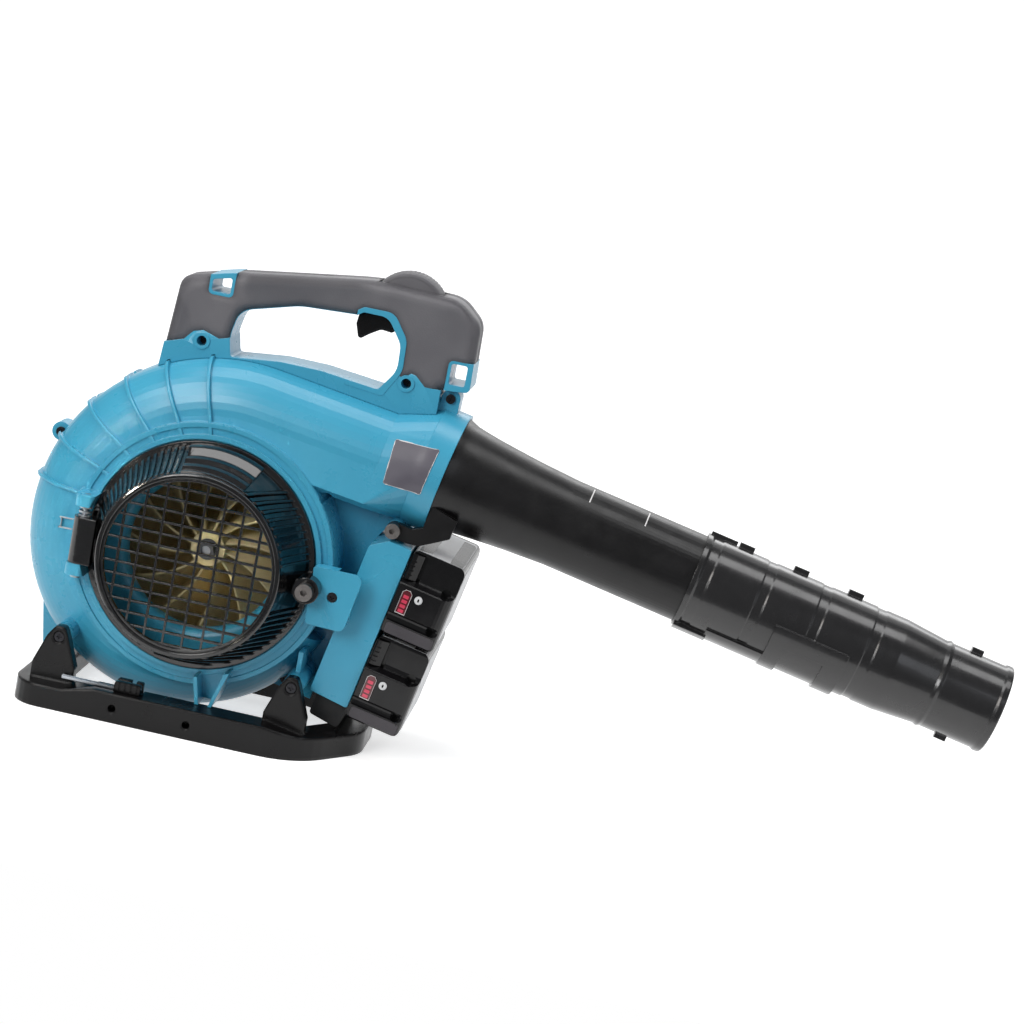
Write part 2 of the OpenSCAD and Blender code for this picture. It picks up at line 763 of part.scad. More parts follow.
// ---- battery housing and packs ----
col_s0 = 125;
col_s1 = 159.5;
col_top = 72;
col_z1 = 50;
col_wall = 3;
cable_s1 = 143;              // front wall of the cable space
pack_mid = -3;               // middle of the pair of packs
function pack_y(i) = pack_mid + (i - 0.5) * pack_pitch;
pack_s0 = col_s1 + 1;
neck_half = 22;
head_half = 27;
rail_s0 = col_s1 + 4;         // inner face of the rail's head
rail_s1 = rail_s0 + 4;       // outer face of the rail's head
slide_gap = 0.4;
rail_end = 43;               // front end of the rails
terminal_z = -38;            // front face of the terminal blocks
blade_h = 3.6;               // height of the terminal blades over the rail
pack_z1 = pack_len / 2;
module battery_housing() {
    color(teal)
        at_fan()
            difference() {
                union() {
                    plate(rounded([[col_s0, col_top * -1, 2], [col_s1, -col_top - 2, 2], [col_s1, col_top, 2],
                        [col_s0 + 14, col_top, 3], [col_s0, col_top - 10, 3]]), -col_z1 - 2, col_z1);
                    // rails that the packs slide on
                    for (i = [0, 1])
                        translate([0, pack_y(i), 0]) {
                            plate(box2(col_s1 - 0.5, -neck_half, rail_s0 + 0.1, neck_half), -col_z1, rail_end);
                            plate(box2(rail_s0, -head_half, rail_s1, head_half), -col_z1, rail_end);
                        }
                }
                // seats of the terminal blocks
                for (i = [0, 1])
                    translate([0, pack_y(i), 0])
                        plate(box2(rail_s1 - 2.5, -neck_half + 2, rail_s1 + 1, neck_half - 2), -col_z1 - 1,
                            terminal_z + 0.1);
                // cable space
                plate(box2(col_s0 + col_wall, -57, cable_s1, 57), -col_z1 - 3, 38);
                for (p = cover_screws)
                    translate(p)
                        rod(2.1, -col_z1 - 3, -col_z1 + 12);
            }
}
function box2(x0, y0, x1, y1) = [[x0, y0], [x1, y0], [x1, y1], [x0, y1]];
module terminals(i) {
    color(black)
        at_fan()
            translate([0, pack_y(i), 0]) {
                plate(box2(rail_s1 - 2.4, -neck_half + 2.1, rail_s1, neck_half - 2.1), -col_z1 + 0.2, terminal_z);
                for (y = [-12, 12])
                    plate(box2(rail_s1 - 0.1, y - 0.6, rail_s1 + blade_h, y + 0.6), -col_z1 + 1, terminal_z - 0.5);
            }
}
module upper_terminals() terminals(1);
module lower_terminals() terminals(0);
// Profile of a pack's front end, seen along the tube: lower band, finger groove, raised middle
// with the gauge, and a deep recess for the release button
mid_h = [-16, 8.5];          // lower and upper edge of the raised middle
recess_z = pack_z1 - 9;      // floor of the recess
groove_r = 4.5;
function pack_front() =
    let (h = pack_w / 2, z = pack_z1)
    concat([[-h, -pack_z1], [h, -pack_z1], [h, recess_z - 1]], [[h - 2, recess_z], [mid_h[1] + 8, recess_z]],
        arc([mid_h[1] + 8, recess_z + 5], 5, 270, 200, 4), [[mid_h[1] + 1, z - 1], [mid_h[1], z], [mid_h[0], z]],
        arc([mid_h[0] - groove_r, z + 0.8], groove_r, 345, 205, 6), [[-h + 2.5, z - 2.5], [-h, z - 5]]);
module pack(i) {
    s1 = pack_s0 + pack_h;
    color(black)
        at_fan()
            translate([0, pack_y(i), 0])
                difference() {
                    intersection() {
                        translate([pack_s0, 0, 0])
                            rotate([90, 0, 90])
                                linear_extrude(pack_h)
                                    polygon(pack_front());
                        plate(rounded(box_pts(pack_s0, -pack_w / 2, s1, pack_w / 2, 6)), -pack_z1, pack_z1);
                        translate([0, pack_w / 2, 0])
                            rotate([90, 0, 0])
                                linear_extrude(pack_w)
                                    polygon(rounded([[pack_s0, -pack_z1, 1], [s1, -pack_z1, 6],
                                        [s1, pack_z1, 9], [pack_s0, pack_z1, 1]]));
                    }
                    // slot for the rail, open at the back end
                    plate(box2(pack_s0 - 1, -neck_half - slide_gap, rail_s0 + slide_gap, neck_half + slide_gap),
                        -pack_z1 - 1, rail_end + gap);
                    plate(box2(rail_s0 - slide_gap, -head_half - slide_gap, rail_s1 + slide_gap,
                        head_half + slide_gap), -pack_z1 - 1, rail_end + gap);
                    // slots for the terminal blades
                    for (y = [-12, 12])
                        plate(box2(rail_s1, y - 1.1, rail_s1 + blade_h + 0.5, y + 1.1), -pack_z1 - 1,
                            terminal_z + 1);
                    // well of the release button
                    plate(box2(release_s[0] - 0.5, release_h[0] - 0.5, release_s[1] + release_travel + 0.5,
                        release_h[1] + 0.5), rail_end + gap + 1, pack_z1 + 1);
                    // recesses of gauge and check button
                    plate(gauge_pts(0.2), pack_z1 - 2, pack_z1 + 1);
                    translate(check_p)
                        rod(check_r + 0.15, pack_z1 - 3, pack_z1 + 1);
                    // finger pockets at the outer ends of the grooves
                    for (y = [mid_h[0] - groove_r, mid_h[1] + 4.5])
                        translate([s1 - 8, y, 0])
                            rod(4.2, pack_z1 - 13, pack_z1 + 1);
                }
}
module upper_pack() pack(1);
module lower_pack() pack(0);
release_s = [162, 172];
release_h = [13, 35];
release_travel = 2.2;
module release(i) {
    z0 = rail_end + gap + 1.3;
    color(black)
        at_fan()
            translate([0, pack_y(i), 0])
                difference() {
                    translate([0, release_h[1], 0])
                        rotate([90, 0, 0])
                            linear_extrude(release_h[1] - release_h[0])
                                polygon(rounded([[release_s[0], z0, 0], [release_s[1], z0, 0],
                                    [release_s[1], recess_z + 1.5, 1], [release_s[0] + 4, recess_z + 5, 1.5],
                                    [release_s[0], recess_z + 5, 1]]));
                    for (y = [release_h[0] + 4:4:release_h[1] - 3])
                        translate([release_s[0] + 1, y - 0.6, recess_z + 4])
                            cube([4, 1.2, 4]);
                }
}
module upper_release() release(1);
module lower_release() release(0);
gauge_s = [165.7, 174.3];
gauge_h = [-15.5, 3];
function gauge_pts(o) = let (m = (gauge_s[0] + gauge_s[1]) / 2)
    [[gauge_s[0] - o, gauge_h[0] - o], [gauge_s[1] + o, gauge_h[0] - o], [gauge_s[1] + o, gauge_h[1]],
        [m + 2, gauge_h[1] + 2.5 + o], [m - 2, gauge_h[1] + 2.5 + o], [gauge_s[0] - o, gauge_h[1]]];
module gauge(i) {
    color([0.85, 0.2, 0.3])
        at_fan()
            translate([0, pack_y(i), 0])
                plate(gauge_pts(0), pack_z1 - 2, pack_z1 + 0.2);
}
module upper_gauge() gauge(1);
module lower_gauge() gauge(0);
check_p = [180.5, 0.8];
check_r = 3.4;
check_travel = 0.8;
module check_button(i) {
    color([0.9, 0.9, 0.9])
        at_fan()
            translate([check_p[0], pack_y(i) + check_p[1], 0])
                union() {
                    rod(check_r, pack_z1 - 3 + check_travel + 0.2, pack_z1 + 0.4);
                    rod(check_r - 0.8, pack_z1 + 0.3, pack_z1 + 0.8);
                }
}
module upper_check_button() check_button(1);
module lower_check_button() check_button(0);

// ---- tubes ----
tube_s0 = 141;               // rear end of the rear tube, inside the collar
straight_s = 262;            // where the tube's taper ends
nozzle_s = 379;              // rear edge of the nozzle, fully drawn out
tube_s1 = nozzle_s + 76;
nozzle_bore = tube_r + 0.3;
nozzle_or = nozzle_bore + tube_wall;
throat_s = tube_s1 + nozzle_travel + 6;   // where the nozzle starts to narrow
bead_s = throat_s + 39;
outlet_r = tube_r - 3.3;
nozzle_end = nozzle_s + nozzle_len;
collar_fit = collar_r - shell_wall - 0.2;
module rear_tube() {
    color(charcoal)
        difference() {
            union() {
                at_tube()
                    rotate_extrude()
                        polygon([[tube_r, tube_s0], [collar_fit, tube_s0], [collar_fit, outlet_s + 0.5],
                            [collar_fit - 2.9, 168], [collar_fit - 4.5, 178], [collar_fit - 6.0, 190],
                            [tube_r + 3.6, 207], [tube_r + 2.0, 226], [tube_r + 1.0, 244], [tube_r, straight_s],
                            [tube_r, tube_s1], [tube_r - 6, tube_s1]]);
                tube_arm();
            }
            at_tube()
                rotate_extrude()
                    polygon([[0, tube_s0 - 1], [collar_fit - tube_wall, tube_s0 - 1],
                        [collar_fit - tube_wall, outlet_s], [collar_fit - 2.9 - tube_wall, 168],
                        [collar_fit - 4.5 - tube_wall, 178], [collar_fit - 6.0 - tube_wall, 190],
                        [tube_r + 3.6 - tube_wall, 207], [tube_r + 2.0 - tube_wall, 226],
                        [tube_r + 1.0 - tube_wall, 244], [tube_r - tube_wall, straight_s],
                        [tube_r - tube_wall, tube_s1 + 1], [0, tube_s1 + 1]]);
        }
}
tube_up = tube_h - 133;      // the arm's upper end follows the tube
arm_z = [tube_boss_z + gap, tube_boss_z + 8];
module tube_arm() {
    at_fan()
        difference() {
            plate(concat(arc(tube_bolt_p, 6.6, 90, 270, 8), [[150, 74.2], [162, 76], [176, 86 + tube_up / 2],
                [184, 92 + tube_up], [184, 108 + tube_up], [outlet_s + 0.6, 112 + tube_up],
                [outlet_s + 0.6, 92], [152, 87.2]]), arm_z[0], arm_z[1]);
            translate(tube_bolt_p)
                rod(3.1, arm_z[0] - 1, arm_z[1] + 1);
        }
}
module tube_bolt() {
    color([0.3, 0.3, 0.31])
        at_fan()
            translate(tube_bolt_p)
                difference() {
                    union() {
                        rod(2.85, tube_boss_z - 14, arm_z[1] + 0.1);
                        rod(6.4, arm_z[1], arm_z[1] + 7);
                    }
                    translate([0, 0, arm_z[1] + 3])
                        cylinder(r = 2.6, h = 5, $fn = 6);
                }
}
// Raised patch on the nozzle from s0 to s1 and from angle a0 to a1, 90 being on top and 180
// towards the intake side
module patch(s0, s1, a0, a1, out, in = 1) {
    rotate(a0)
        translate([0, 0, s0])
            rotate_extrude(angle = a1 - a0)
                translate([nozzle_or - in, 0])
                    square([out + in, s1 - s0]);
}
module front_nozzle() {
    step = nozzle_travel / 2;
    color(charcoal)
        at_tube(nozzle_s)
            difference() {
                union() {
                    rotate_extrude()
                        polygon(concat([[nozzle_or - 1, 0], [nozzle_or + 0.8, 0], [nozzle_or + 0.8, 4]],
                            [for (i = [0:3]) each [[nozzle_or, 5 + i * step], [nozzle_or - 0.7, 6 + i * step],
                                [nozzle_or - 0.7, 13 + i * step], [nozzle_or, 14.5 + i * step]]],
                            [[nozzle_or, throat_s - nozzle_s], [outlet_r + 3.6, throat_s - nozzle_s + 22],
                                [outlet_r + 2.3, bead_s - nozzle_s - 3], [outlet_r + 3.4, bead_s - nozzle_s],
                                [outlet_r + 2.2, bead_s - nozzle_s + 3], [outlet_r + 2.2, nozzle_len - 7],
                                [outlet_r + 3.4, nozzle_len - 5], [outlet_r + 3.4, nozzle_len - 1],
                                [outlet_r + 2.6, nozzle_len], [outlet_r - 1, nozzle_len]]));
                    // locking channel on the intake side: mouth, run and pocket
                    patch(1.4, 30, 236, 266, 3.2);
                    patch(28, 80, 222, 268, 1.8);
                    difference() {
                        patch(78, 143, 178, 270, 3.4);
                        rotate(200)
                            translate([0, 0, 92])
                                rotate_extrude(angle = 74)
                                    translate([nozzle_or + 1, 0])
                                        square([5, 34]);
                    }
                    // stop lugs along the top, one for each of the three lengths
                    for (i = [0:2])
                        patch(27 + i * step, 40 + i * step, 74, 86, 4.2);
                    patch(1.8, 25, 76, 84, 3.4);
                    // bayonet lugs of the outlet
                    for (a = [82, 262])
                        rotate(a)
                            translate([outlet_r + 1, -3.5, nozzle_len - 38])
                                cube([5.2, 7, 10]);
                }
                rotate_extrude()
                    polygon([[0, -1], [nozzle_bore, -1], [nozzle_bore, throat_s - nozzle_s - 2],
                        [outlet_r, bead_s - nozzle_s], [outlet_r, nozzle_len + 1], [0, nozzle_len + 1]]);
            }
}

// ---- base ----
base_x = [-131, 158];
post_t = 10;
rail_in = base_w / 2 - 26;   // inner edge of the side rails
// Outline of the base at distance o inside its outer edge
function base_outer(o) = rounded([[base_x[0] + o, -base_w / 2 + o, 24 - o], [112, -base_w / 2 + o, 60 - o],
    [base_x[1] - o, -34, 44 - o], [base_x[1] - o, 34, 44 - o], [112, base_w / 2 - o, 60 - o],
    [base_x[0] + o, base_w / 2 - o, 24 - o]], 6);
function base_inner(o) = rounded([[base_x[0] + 27 - o, -rail_in - o, 12 + o], [98, -rail_in - o, 34 + o],
    [base_x[1] - 27 + o, -22, 24 + o], [base_x[1] - 27 + o, 22, 24 + o], [98, rail_in + o, 34 + o],
    [base_x[0] + 27 - o, rail_in + o, 12 + o]], 6);
// Side view of the rails: lower at both ends
function rail_side(d) = [[base_x[0] - 1, -1], [base_x[1] + 1, -1], [base_x[1] + 1, rail_h - 6 - d],
    [112, rail_h - 5 - d], [84, rail_h - d], [-62, rail_h - d], [-88, rail_h - 6 - d],
    [base_x[0] - 1, rail_h - 6 - d]];
module base_ring(o, d) {
    intersection() {
        difference() {
            plate(base_outer(o), 0, rail_h);
            plate(base_inner(o), -1, rail_h + 1);
        }
        rotate([90, 0, 0])
            plate(rail_side(d), -base_w, base_w);
    }
}
module post(x, inwards) {
    upright()
        plate(rounded([[x - 19, 10, 0], [x + 17, 10, 0], [x + 17, rail_h + 8, 5], [x + 8, foot_h, 6],
            [x + 4, foot_h + 9, 4], [x - 4, foot_h + 9, 4], [x - 10, foot_h, 6],
            [x - 19, rail_h + 8, 5]]), foot_z, foot_z + post_t);
}
base_hole_x = -12;
module base_frame() {
    color(black)
        difference() {
            union() {
                difference() {
                    base_ring(0, 0);
                    translate([0, 0, -3.5])
                        base_ring(3.5, 0);
                    // trough for the hex key
                    translate([-94, key_y - 4.5, rail_h - 1.8])
                        cube([70, 9, 10]);
                    translate([-36, key_y, rail_h - 1.8])
                        cube([12, 30, 10]);
                }
                for (x = foot_x) {
                    post(x);
                    mirror([0, 1, 0])
                        post(x);
                }
                // cross ribs and screw bosses inside the rails
                for (x = [-70, -44, 19, 60])
                    for (y = [-1, 1])
                        translate([x - 1.5, y * (base_w / 2 - 13) - 11, 0])
                            cube([3, 22, rail_h - 5]);
                for (x = [-1, 1])
                    translate([base_hole_x + x * base_hole_step / 2, -base_w / 2 + 10, 12.3])
                        rotate([90, 0, 0])
                            cylinder(r = base_hole_r + 2.5, h = 8);
            }
            for (x = [-1, 1])
                translate([base_hole_x + x * base_hole_step / 2, -base_w / 2 + 14, 12.3])
                    rotate([90, 0, 0])
                        cylinder(r = base_hole_r, h = 20);
            for (x = foot_x)
                upright()
                    translate([x, foot_h, 0]) {
                        rod(2.3, -foot_z - post_t - 1, foot_z + post_t + 1);
                        for (m = [0, 1])
                            mirror([0, 0, m])
                                rod(4.8, foot_z + post_t - 3, foot_z + post_t + 1);
                    }
        }
}
module base_screws() {
    color(steel)
        upright()
            for (x = foot_x)
                for (m = [0, 1])
                    translate([x, foot_h, 0])
                        mirror([0, 0, m])
                            screw(foot_z + post_t - 3, 1.95, 4.2, 18, 2.4);
}
// Rubber block between the battery housing and the base
module battery_buffer() {
    color(black)
        at_fan()
            difference() {
                plate(rounded([[131, -col_top - 21, 3], [158, -col_top - 24, 3],
                    [158, -col_top - 2 - gap, 0], [131, -col_top - gap - 0.5, 0]]), -42, 42);
                for (z = [-28:14:28])
                    translate([124, -col_top - 30, z - 2])
                        cube([12, 40, 4]);
            }
}
key_r = 2;
key_y = -foot_z - post_t - 4;
key_z = rail_h + 1;
key_bend = -32;              // world X of the key's short arm
clip_x = [-46, -24];         // ends of the clip, over the bend of the key
clip_half = 7.5;             // half width of the clip above the rail
clip_h = 9;                  // height of the clip above the rail
module hex_key() {
    color(steel)
        union() {
            translate([-92, key_y, key_z])
                rotate([0, 90, 0])
                    cylinder(r = key_r, h = key_bend + key_r + 92, $fn = 6);
            translate([key_bend, key_y - key_r, key_z])
                rotate([-90, 0, 0])
                    cylinder(r = key_r, h = 22, $fn = 6);
        }
}
module key_clip() {
    color(black)
        difference() {
            union() {
                translate([clip_x[0] + 1, key_y - 4.4, rail_h - 1.7])
                    cube([clip_x[1] - clip_x[0] - 2, 8.8, 3]);
                translate([0, key_y, 0])
                    rotate([90, 0, 0])
                        plate(rounded([[clip_x[0], rail_h + 0.1, 0], [clip_x[1], rail_h + 0.1, 0],
                            [clip_x[1], rail_h + clip_h, 1.5], [clip_x[0], rail_h + clip_h, 1.5]], 3),
                            -clip_half, clip_half);
            }
            // bed of the key's long arm and of its short one
            translate([clip_x[0] - 1, key_y - key_r - 0.1, key_z - key_r - 0.1])
                cube([clip_x[1] - clip_x[0] + 2, 2 * key_r + 0.2, 20]);
            translate([key_bend - key_r - 0.1, key_y, key_z - key_r - 0.1])
                cube([2 * key_r + 0.2, 20, 20]);
            // fluted front
            for (i = [0:3])
                translate([clip_x[0] + 3.5 + 5 * i, key_y - clip_half - 1, rail_h + 2])
                    cube([1.6, 2, clip_h]);
        }
}

// ---- handle ----
hw = handle_w / 2;
// Outer outline of the handle, e inwards
function handle_out(e) = rev([[-72 + e, 270, 0], [-64.5 + e, 364.5 - e, 12], [-20, 376 - e, 150],
    [98, 394 - e, 200], [168, 391.5 - e, 26], [187.5 - e, 374 - e, 18], [189 - e, 318 + e, 4],
    [165.5 - e, 316 + e, 2], [165.5 - e, 270, 0]]);
// Opening for the hand, e outwards
function handle_hole(e) = rev([[-12 - e, 306.5 - e, 3], [-15.5 - e, 324, 20], [-11 - e, 346 + e, 16],
    [38, 359.8 + e, 60], [86, 362.5 + e, 3], [91, 366 + e, 4], [112 + e, 366 + e, 12],
    [126 + e, 346 + e, 16], [127 + e, 324, 20], [114 + e, 305.5 - e, 4], [65, 311 - e, 60],
    [30, 311.3 - e, 60]]);
seam = [[-90, 301], [-53, 313.5], [-46, 321.5], [-38, 324], [-30, 321.5], [-24, 319.5], [-9, 324],
    [30, 340], [100, 335], [124, 322], [133, 319.3], [139, 324.3], [143, 323.5], [152, 315.5], [200, 315.8],
    [200, 430], [-90, 430]];
grip_bosses = [[-37.8, 315], [136.4, 315.3]];
grip_boss_r = 7;             // raised rim round the handle's screws
core_in = 3;                 // the core lies this far under the grip's skin
mech_half = 13.5;            // half width of the pocket for the speed lever
slot_half = 7;               // half width of the slot for trigger and switch
trigger_half = slot_half - 0.8;
trigger_p = [120.5, 363.5];
lever_p = [125, 372.5];
module strap_slots() {
    plate(rounded([[-37, 357.5, 2], [-21, 357.5, 2], [-21, 371.4, 2], [-37, 367.3, 2]]), -1, hw + 1);
    plate(rounded(box_pts(170.5, 322, 184, 339.5, 2)), -1, hw + 1);
}
module strap_frames(o, z0, z1) {
    plate(rounded(box_pts(-39.6 - o, 354.8 - o, -18.4 + o, 382, 4)), z0, z1);
    plate(rounded(box_pts(167.8 - o, 310 - o, 192, 342 + o, 4)), z0, z1);
}
// Bare rim round the front of the hand opening
module hole_rim(z0, z1) {
    intersection() {
        plate(rounded(handle_hole(4.5)), z0, z1);
        plate([[86, 300], [140, 300], [140, 373], [86, 373]], z0 - 1, z1 + 1);
    }
}
module core_form() {
    intersection() {
        union() {
            plate(rounded(handle_out(core_in)), 0, hw - core_in);
            difference() {
                plate(rounded(handle_out(0)), 0, hw);
                plate(seam, -1, hw + 1);
            }
            hole_rim(0, hw + 0.4);
            strap_frames(0, 0, hw - 0.2);
            for (p = grip_bosses)
                translate(p)
                    rod(grip_boss_r, hw - 2, hw + 0.9);
        }
        plate(rounded(handle_out(0)), 0, hw + 1);
    }
}
// Pockets for trigger, switch and speed lever
module handle_cavity() {
    plate([[78, 338], [110, 338], [118, 352], [131, 355], [131, 330], [159, 330], [159, 373],
        [78, 373]], -1, slot_half);
    plate([[131, 330], [159, 330], [159, 341], [131, 341]], -1, mech_half);
    difference() {
        intersection() {
            translate([lever_p[0], lever_p[1], -1])
                cylinder(r = wheel_r + 1, h = mech_half + 1);
            translate([80, lever_p[1] - 5.8, -1])
                cube([100, 60, mech_half + 2]);
        }
        translate([trigger_p[0], trigger_p[1], slot_half])
            cylinder(r = 4, h = hw);
    }
}
module handle_hollow() {
    difference() {
        plate(rounded(handle_out(core_in + 3)), -1, hw - core_in - 3);
        plate(rounded(handle_hole(3.2)), -2, hw);
        translate([74, 326, -2])
            cube([90, 80, hw + 2]);
        strap_frames(3, -2, hw + 1);
        for (p = grip_bosses)
            translate([p[0], p[1], -2])
                cylinder(r = 7, h = hw + 2);
        for (x = [-8, 32])
            translate([x, 340, -2])
                cube([2.4, 60, hw + 2]);
        grown_housing(3.4);
    }
}
module handle_half() {
    difference() {
        core_form();
        plate(rounded(handle_hole(0)), -1, hw + 2);
        handle_cavity();
        strap_slots();
        handle_hollow();
        for (p = grip_bosses)
            translate(p) {
                rod(2.2, -1, hw + 1);
                rod(4.2, 6, hw + 2);
            }
        grown_housing(gap);
        translate(trigger_p)
            rod(2.02, -1, hw - 4);
        translate(lever_p)
            rod(4 + run, -1, hw - 3.8);
    }
}
// The housing grown by o, in the upright frame
module grown_housing(o) {
    translate([0, fan_z, 0])
        rotate(-tube_pitch) {
            scroll_back(-o);
            duct_run(-o, -1, duct_end + 1);
            flare(-o);
            plate([[collar_s, 100], [outlet_s + o, 100], [outlet_s + o, tube_h + collar_r + o],
                [collar_s, tube_h + collar_r + o]], -1, hw + 1);
            plate([[126, 160], [152, 160], [148, 198], [130, 196]], -1, web_z + o);
            translate(housing_ears[1])
                rod(ear_r + o, -1, web_z + o + 4);
            for (a = [rib_a[0], rib_a[1]])
                rotate(a)
                    translate([cover_foot_r, -rib_off - rib_t / 2 - o, -1])
                        cube([rib_x(top_r + rib_up + o, a, top_c) - cover_foot_r, rib_t + 2 * o, half_depth + 1]);
        }
}
module handle_front() {
    color(teal)
        upright()
            handle_half();
}
module handle_rear() {
    color(teal)
        upright()
            mirror([0, 0, 1])
                handle_half();
}
edge_r = 8;                  // rounding of the grip's outer edges
hole_r = 5;                  // rounding of its edges round the opening
module grip_half() {
    difference() {
        intersection() {
            skin(concat([[rounded(handle_out(0)), -1]], [for (k = [0:4]) let (a = 20 * k)
                [rounded(handle_out(edge_r * (1 - cos(a)))), hw - edge_r * (1 - sin(a))]],
                [[rounded(handle_out(edge_r + 1)), hw + 1]]));
            plate(seam, 0, hw);
        }
        skin(concat([[rounded(handle_hole(0)), -1]], [for (k = [0:3]) let (a = 27 * k)
            [rounded(handle_hole(hole_r * (1 - cos(a)))), hw - hole_r * (1 - sin(a))]],
            [[rounded(handle_hole(hole_r + 1)), hw + 1]]));
        plate(rounded(handle_out(core_in)), -1, hw - core_in);
        hole_rim(-1, hw + 1);
        strap_frames(0, -1, hw + 1);
        for (p = grip_bosses)
            translate(p)
                rod(grip_boss_r + gap, -1, hw + 1);
        handle_cavity();
        strap_slots();
    }
}
module grip_front() {
    color(grey_grip)
        upright()
            grip_half();
}
module grip_rear() {
    color(grey_grip)
        upright()
            mirror([0, 0, 1])
                grip_half();
}
module trigger() {
    color(black)
        upright()
            difference() {
                plate(rounded([[85.5, 362, 1.5], [84.5, 354, 3], [88.5, 341, 2.5], [97, 347.5, 8],
                    [105.8, 353, 6], [115, 352, 3], [124.5, 359.5, 3], [129.5, 360.5, 1.5],
                    [129.5, 366, 2], [123, 369, 3], [113, 366.5, 4], [90, 364.5, 3]]),
                    -trigger_half, trigger_half);
                translate(trigger_p)
                    rod(2 + run, -trigger_half - 1, trigger_half + 1);
            }
}
module trigger_pin() {
    color(steel)
        upright()
            translate(trigger_p)
                rod(2, -hw + 4.5, hw - 4.5);
}
lever_half = mech_half - 1.3;
lever_a = [28, 180];         // the crown's two ends, at rest
module speed_lever() {
    color(grey_grip)
        upright()
            translate(lever_p)
                difference() {
                    union() {
                        rotate(lever_a[0])
                            rotate_extrude(angle = lever_a[1] - lever_a[0])
                                polygon([[wheel_r - 4, -lever_half], [wheel_r - 2, -lever_half],
                                    [wheel_r - 0.6, -lever_half * 0.6], [wheel_r, 0],
                                    [wheel_r - 0.6, lever_half * 0.6], [wheel_r - 2, lever_half],
                                    [wheel_r - 4, lever_half]]);
                        for (m = [0, 1])
                            mirror([0, 0, m]) {
                                rotate(lever_a[0])
                                    rotate_extrude(angle = lever_a[1] - lever_a[0])
                                        translate([3, lever_half - 4.5])
                                            square([wheel_r - 6, 4]);
                                rod(5.4, lever_half - 4.9, lever_half);
                                rod(4, lever_half - 1, hw - 4);
                            }
                    }
                    for (a = [lever_a[0] + 8:6:lever_a[1] - 6])
                        rotate(a)
                            translate([wheel_r - 1.2, -0.7, -lever_half - 1])
                                cube([3, 1.4, 2 * lever_half + 2]);
                }
}
// Block with the switch and the speed control under the trigger's tail
module switch_module() {
    color(black)
        upright() {
            plate(rounded(box_pts(133, 330.2, 156, 356, 1)), -slot_half + 0.3, slot_half - 0.3);
            plate(rounded(box_pts(133, 330.2, 157, 338, 1)), -mech_half + 0.3, mech_half - 0.3);
            plate(box2(136, 355, 142, 357.5), -2, 2);
        }
}
// Control board with its heat sink, in the cable space of the battery housing
board_half = 46;
module controller() {
    color([0.15, 0.35, 0.25])
        at_fan() {
            plate(box2(col_s0 + col_wall + 0.2, -board_half, col_s0 + col_wall + 2, board_half), -42, 30);
            for (y = [-38:9:-2])
                plate(box2(col_s0 + col_wall + 1.5, y, col_s0 + col_wall + 9, y + 5), -36, 4);
            for (y = [10, 24])
                translate([col_s0 + col_wall + 1.5, y + 4, -8])
                    rotate([0, 90, 0])
                        cylinder(r = 5.5, h = 10);
        }
}
cover_screws = [[135.2, 63], [135.2, -63]];
module housing_cover() {
    color(black)
        at_fan()
            difference() {
                plate(rounded([[127, -67, 3], [143.5, -67, 3], [143.5, 67.5, 3], [136.5, 67.5, 2],
                    [127, 61, 2]]), -col_z1 - 4.5, -col_z1 - 2.1);
                for (p = cover_screws)
                    translate(p)
                        rod(2.2, -col_z1 - 5, -col_z1);
            }
}
module housing_screws() {
    color(steel)
        at_fan() {
            for (p = housing_ears)
                translate(p)
                    screw(web_z, 1.95, 4, 18, 2.4);
            for (p = cover_screws)
                translate(p)
                    mirror([0, 0, 1])
                        screw(col_z1 + 4.5, 1.95, 3.6, 12, 2);
        }
}
module handle_screws() {
    color(steel)
        upright()
            for (p = grip_bosses)
                translate(p)
                    screw(6, 1.95, 3.9, 15, 2.4);
}
motor_screw_z = face_z + 10;
module motor_screws() {
    color(steel)
        at_fan()
            for (a = [45:90:315])
                rotate(a)
                    translate([stator_r + 12, 0, 0])
                        mirror([0, 0, 1])
                            screw(motor_screw_z, 1.95, 3.9, 20, 2.4);
}
washer_t = 1.6;
module hinge_washers() {
    color(steel)
        translate([hinge_x, -hinge_out, 0])
            for (z = [barrel_hi + 0.1, barrel_hi + 3.4, barrel_hi + lug_gap - washer_t - 0.1])
                translate([0, 0, z])
                    tube(5.2, pin_r + run, 0, washer_t);
}

front_shell();
rear_shell();
motor_cover();
stator();
rotor();
front_bearing();
rear_bearing();
impeller();
fan_nut();
intake_cover();
intake_grille();
hinge_pin();
cover_bolt();
cover_bracket();
bracket_screw();
battery_housing();
upper_terminals();
lower_terminals();
upper_pack();
lower_pack();
upper_release();
lower_release();
upper_gauge();
lower_gauge();
upper_check_button();
lower_check_button();
rear_tube();
tube_bolt();
front_nozzle();
base_frame();
base_screws();
battery_buffer();
hex_key();
key_clip();
handle_front();
handle_rear();
grip_front();
grip_rear();
trigger();
trigger_pin();
speed_lever();
switch_module();
controller();
housing_cover();
housing_screws();
handle_screws();
motor_screws();
hinge_washers();
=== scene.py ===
import bpy
import bmesh
import json
import math
from mathutils import Matrix, Vector


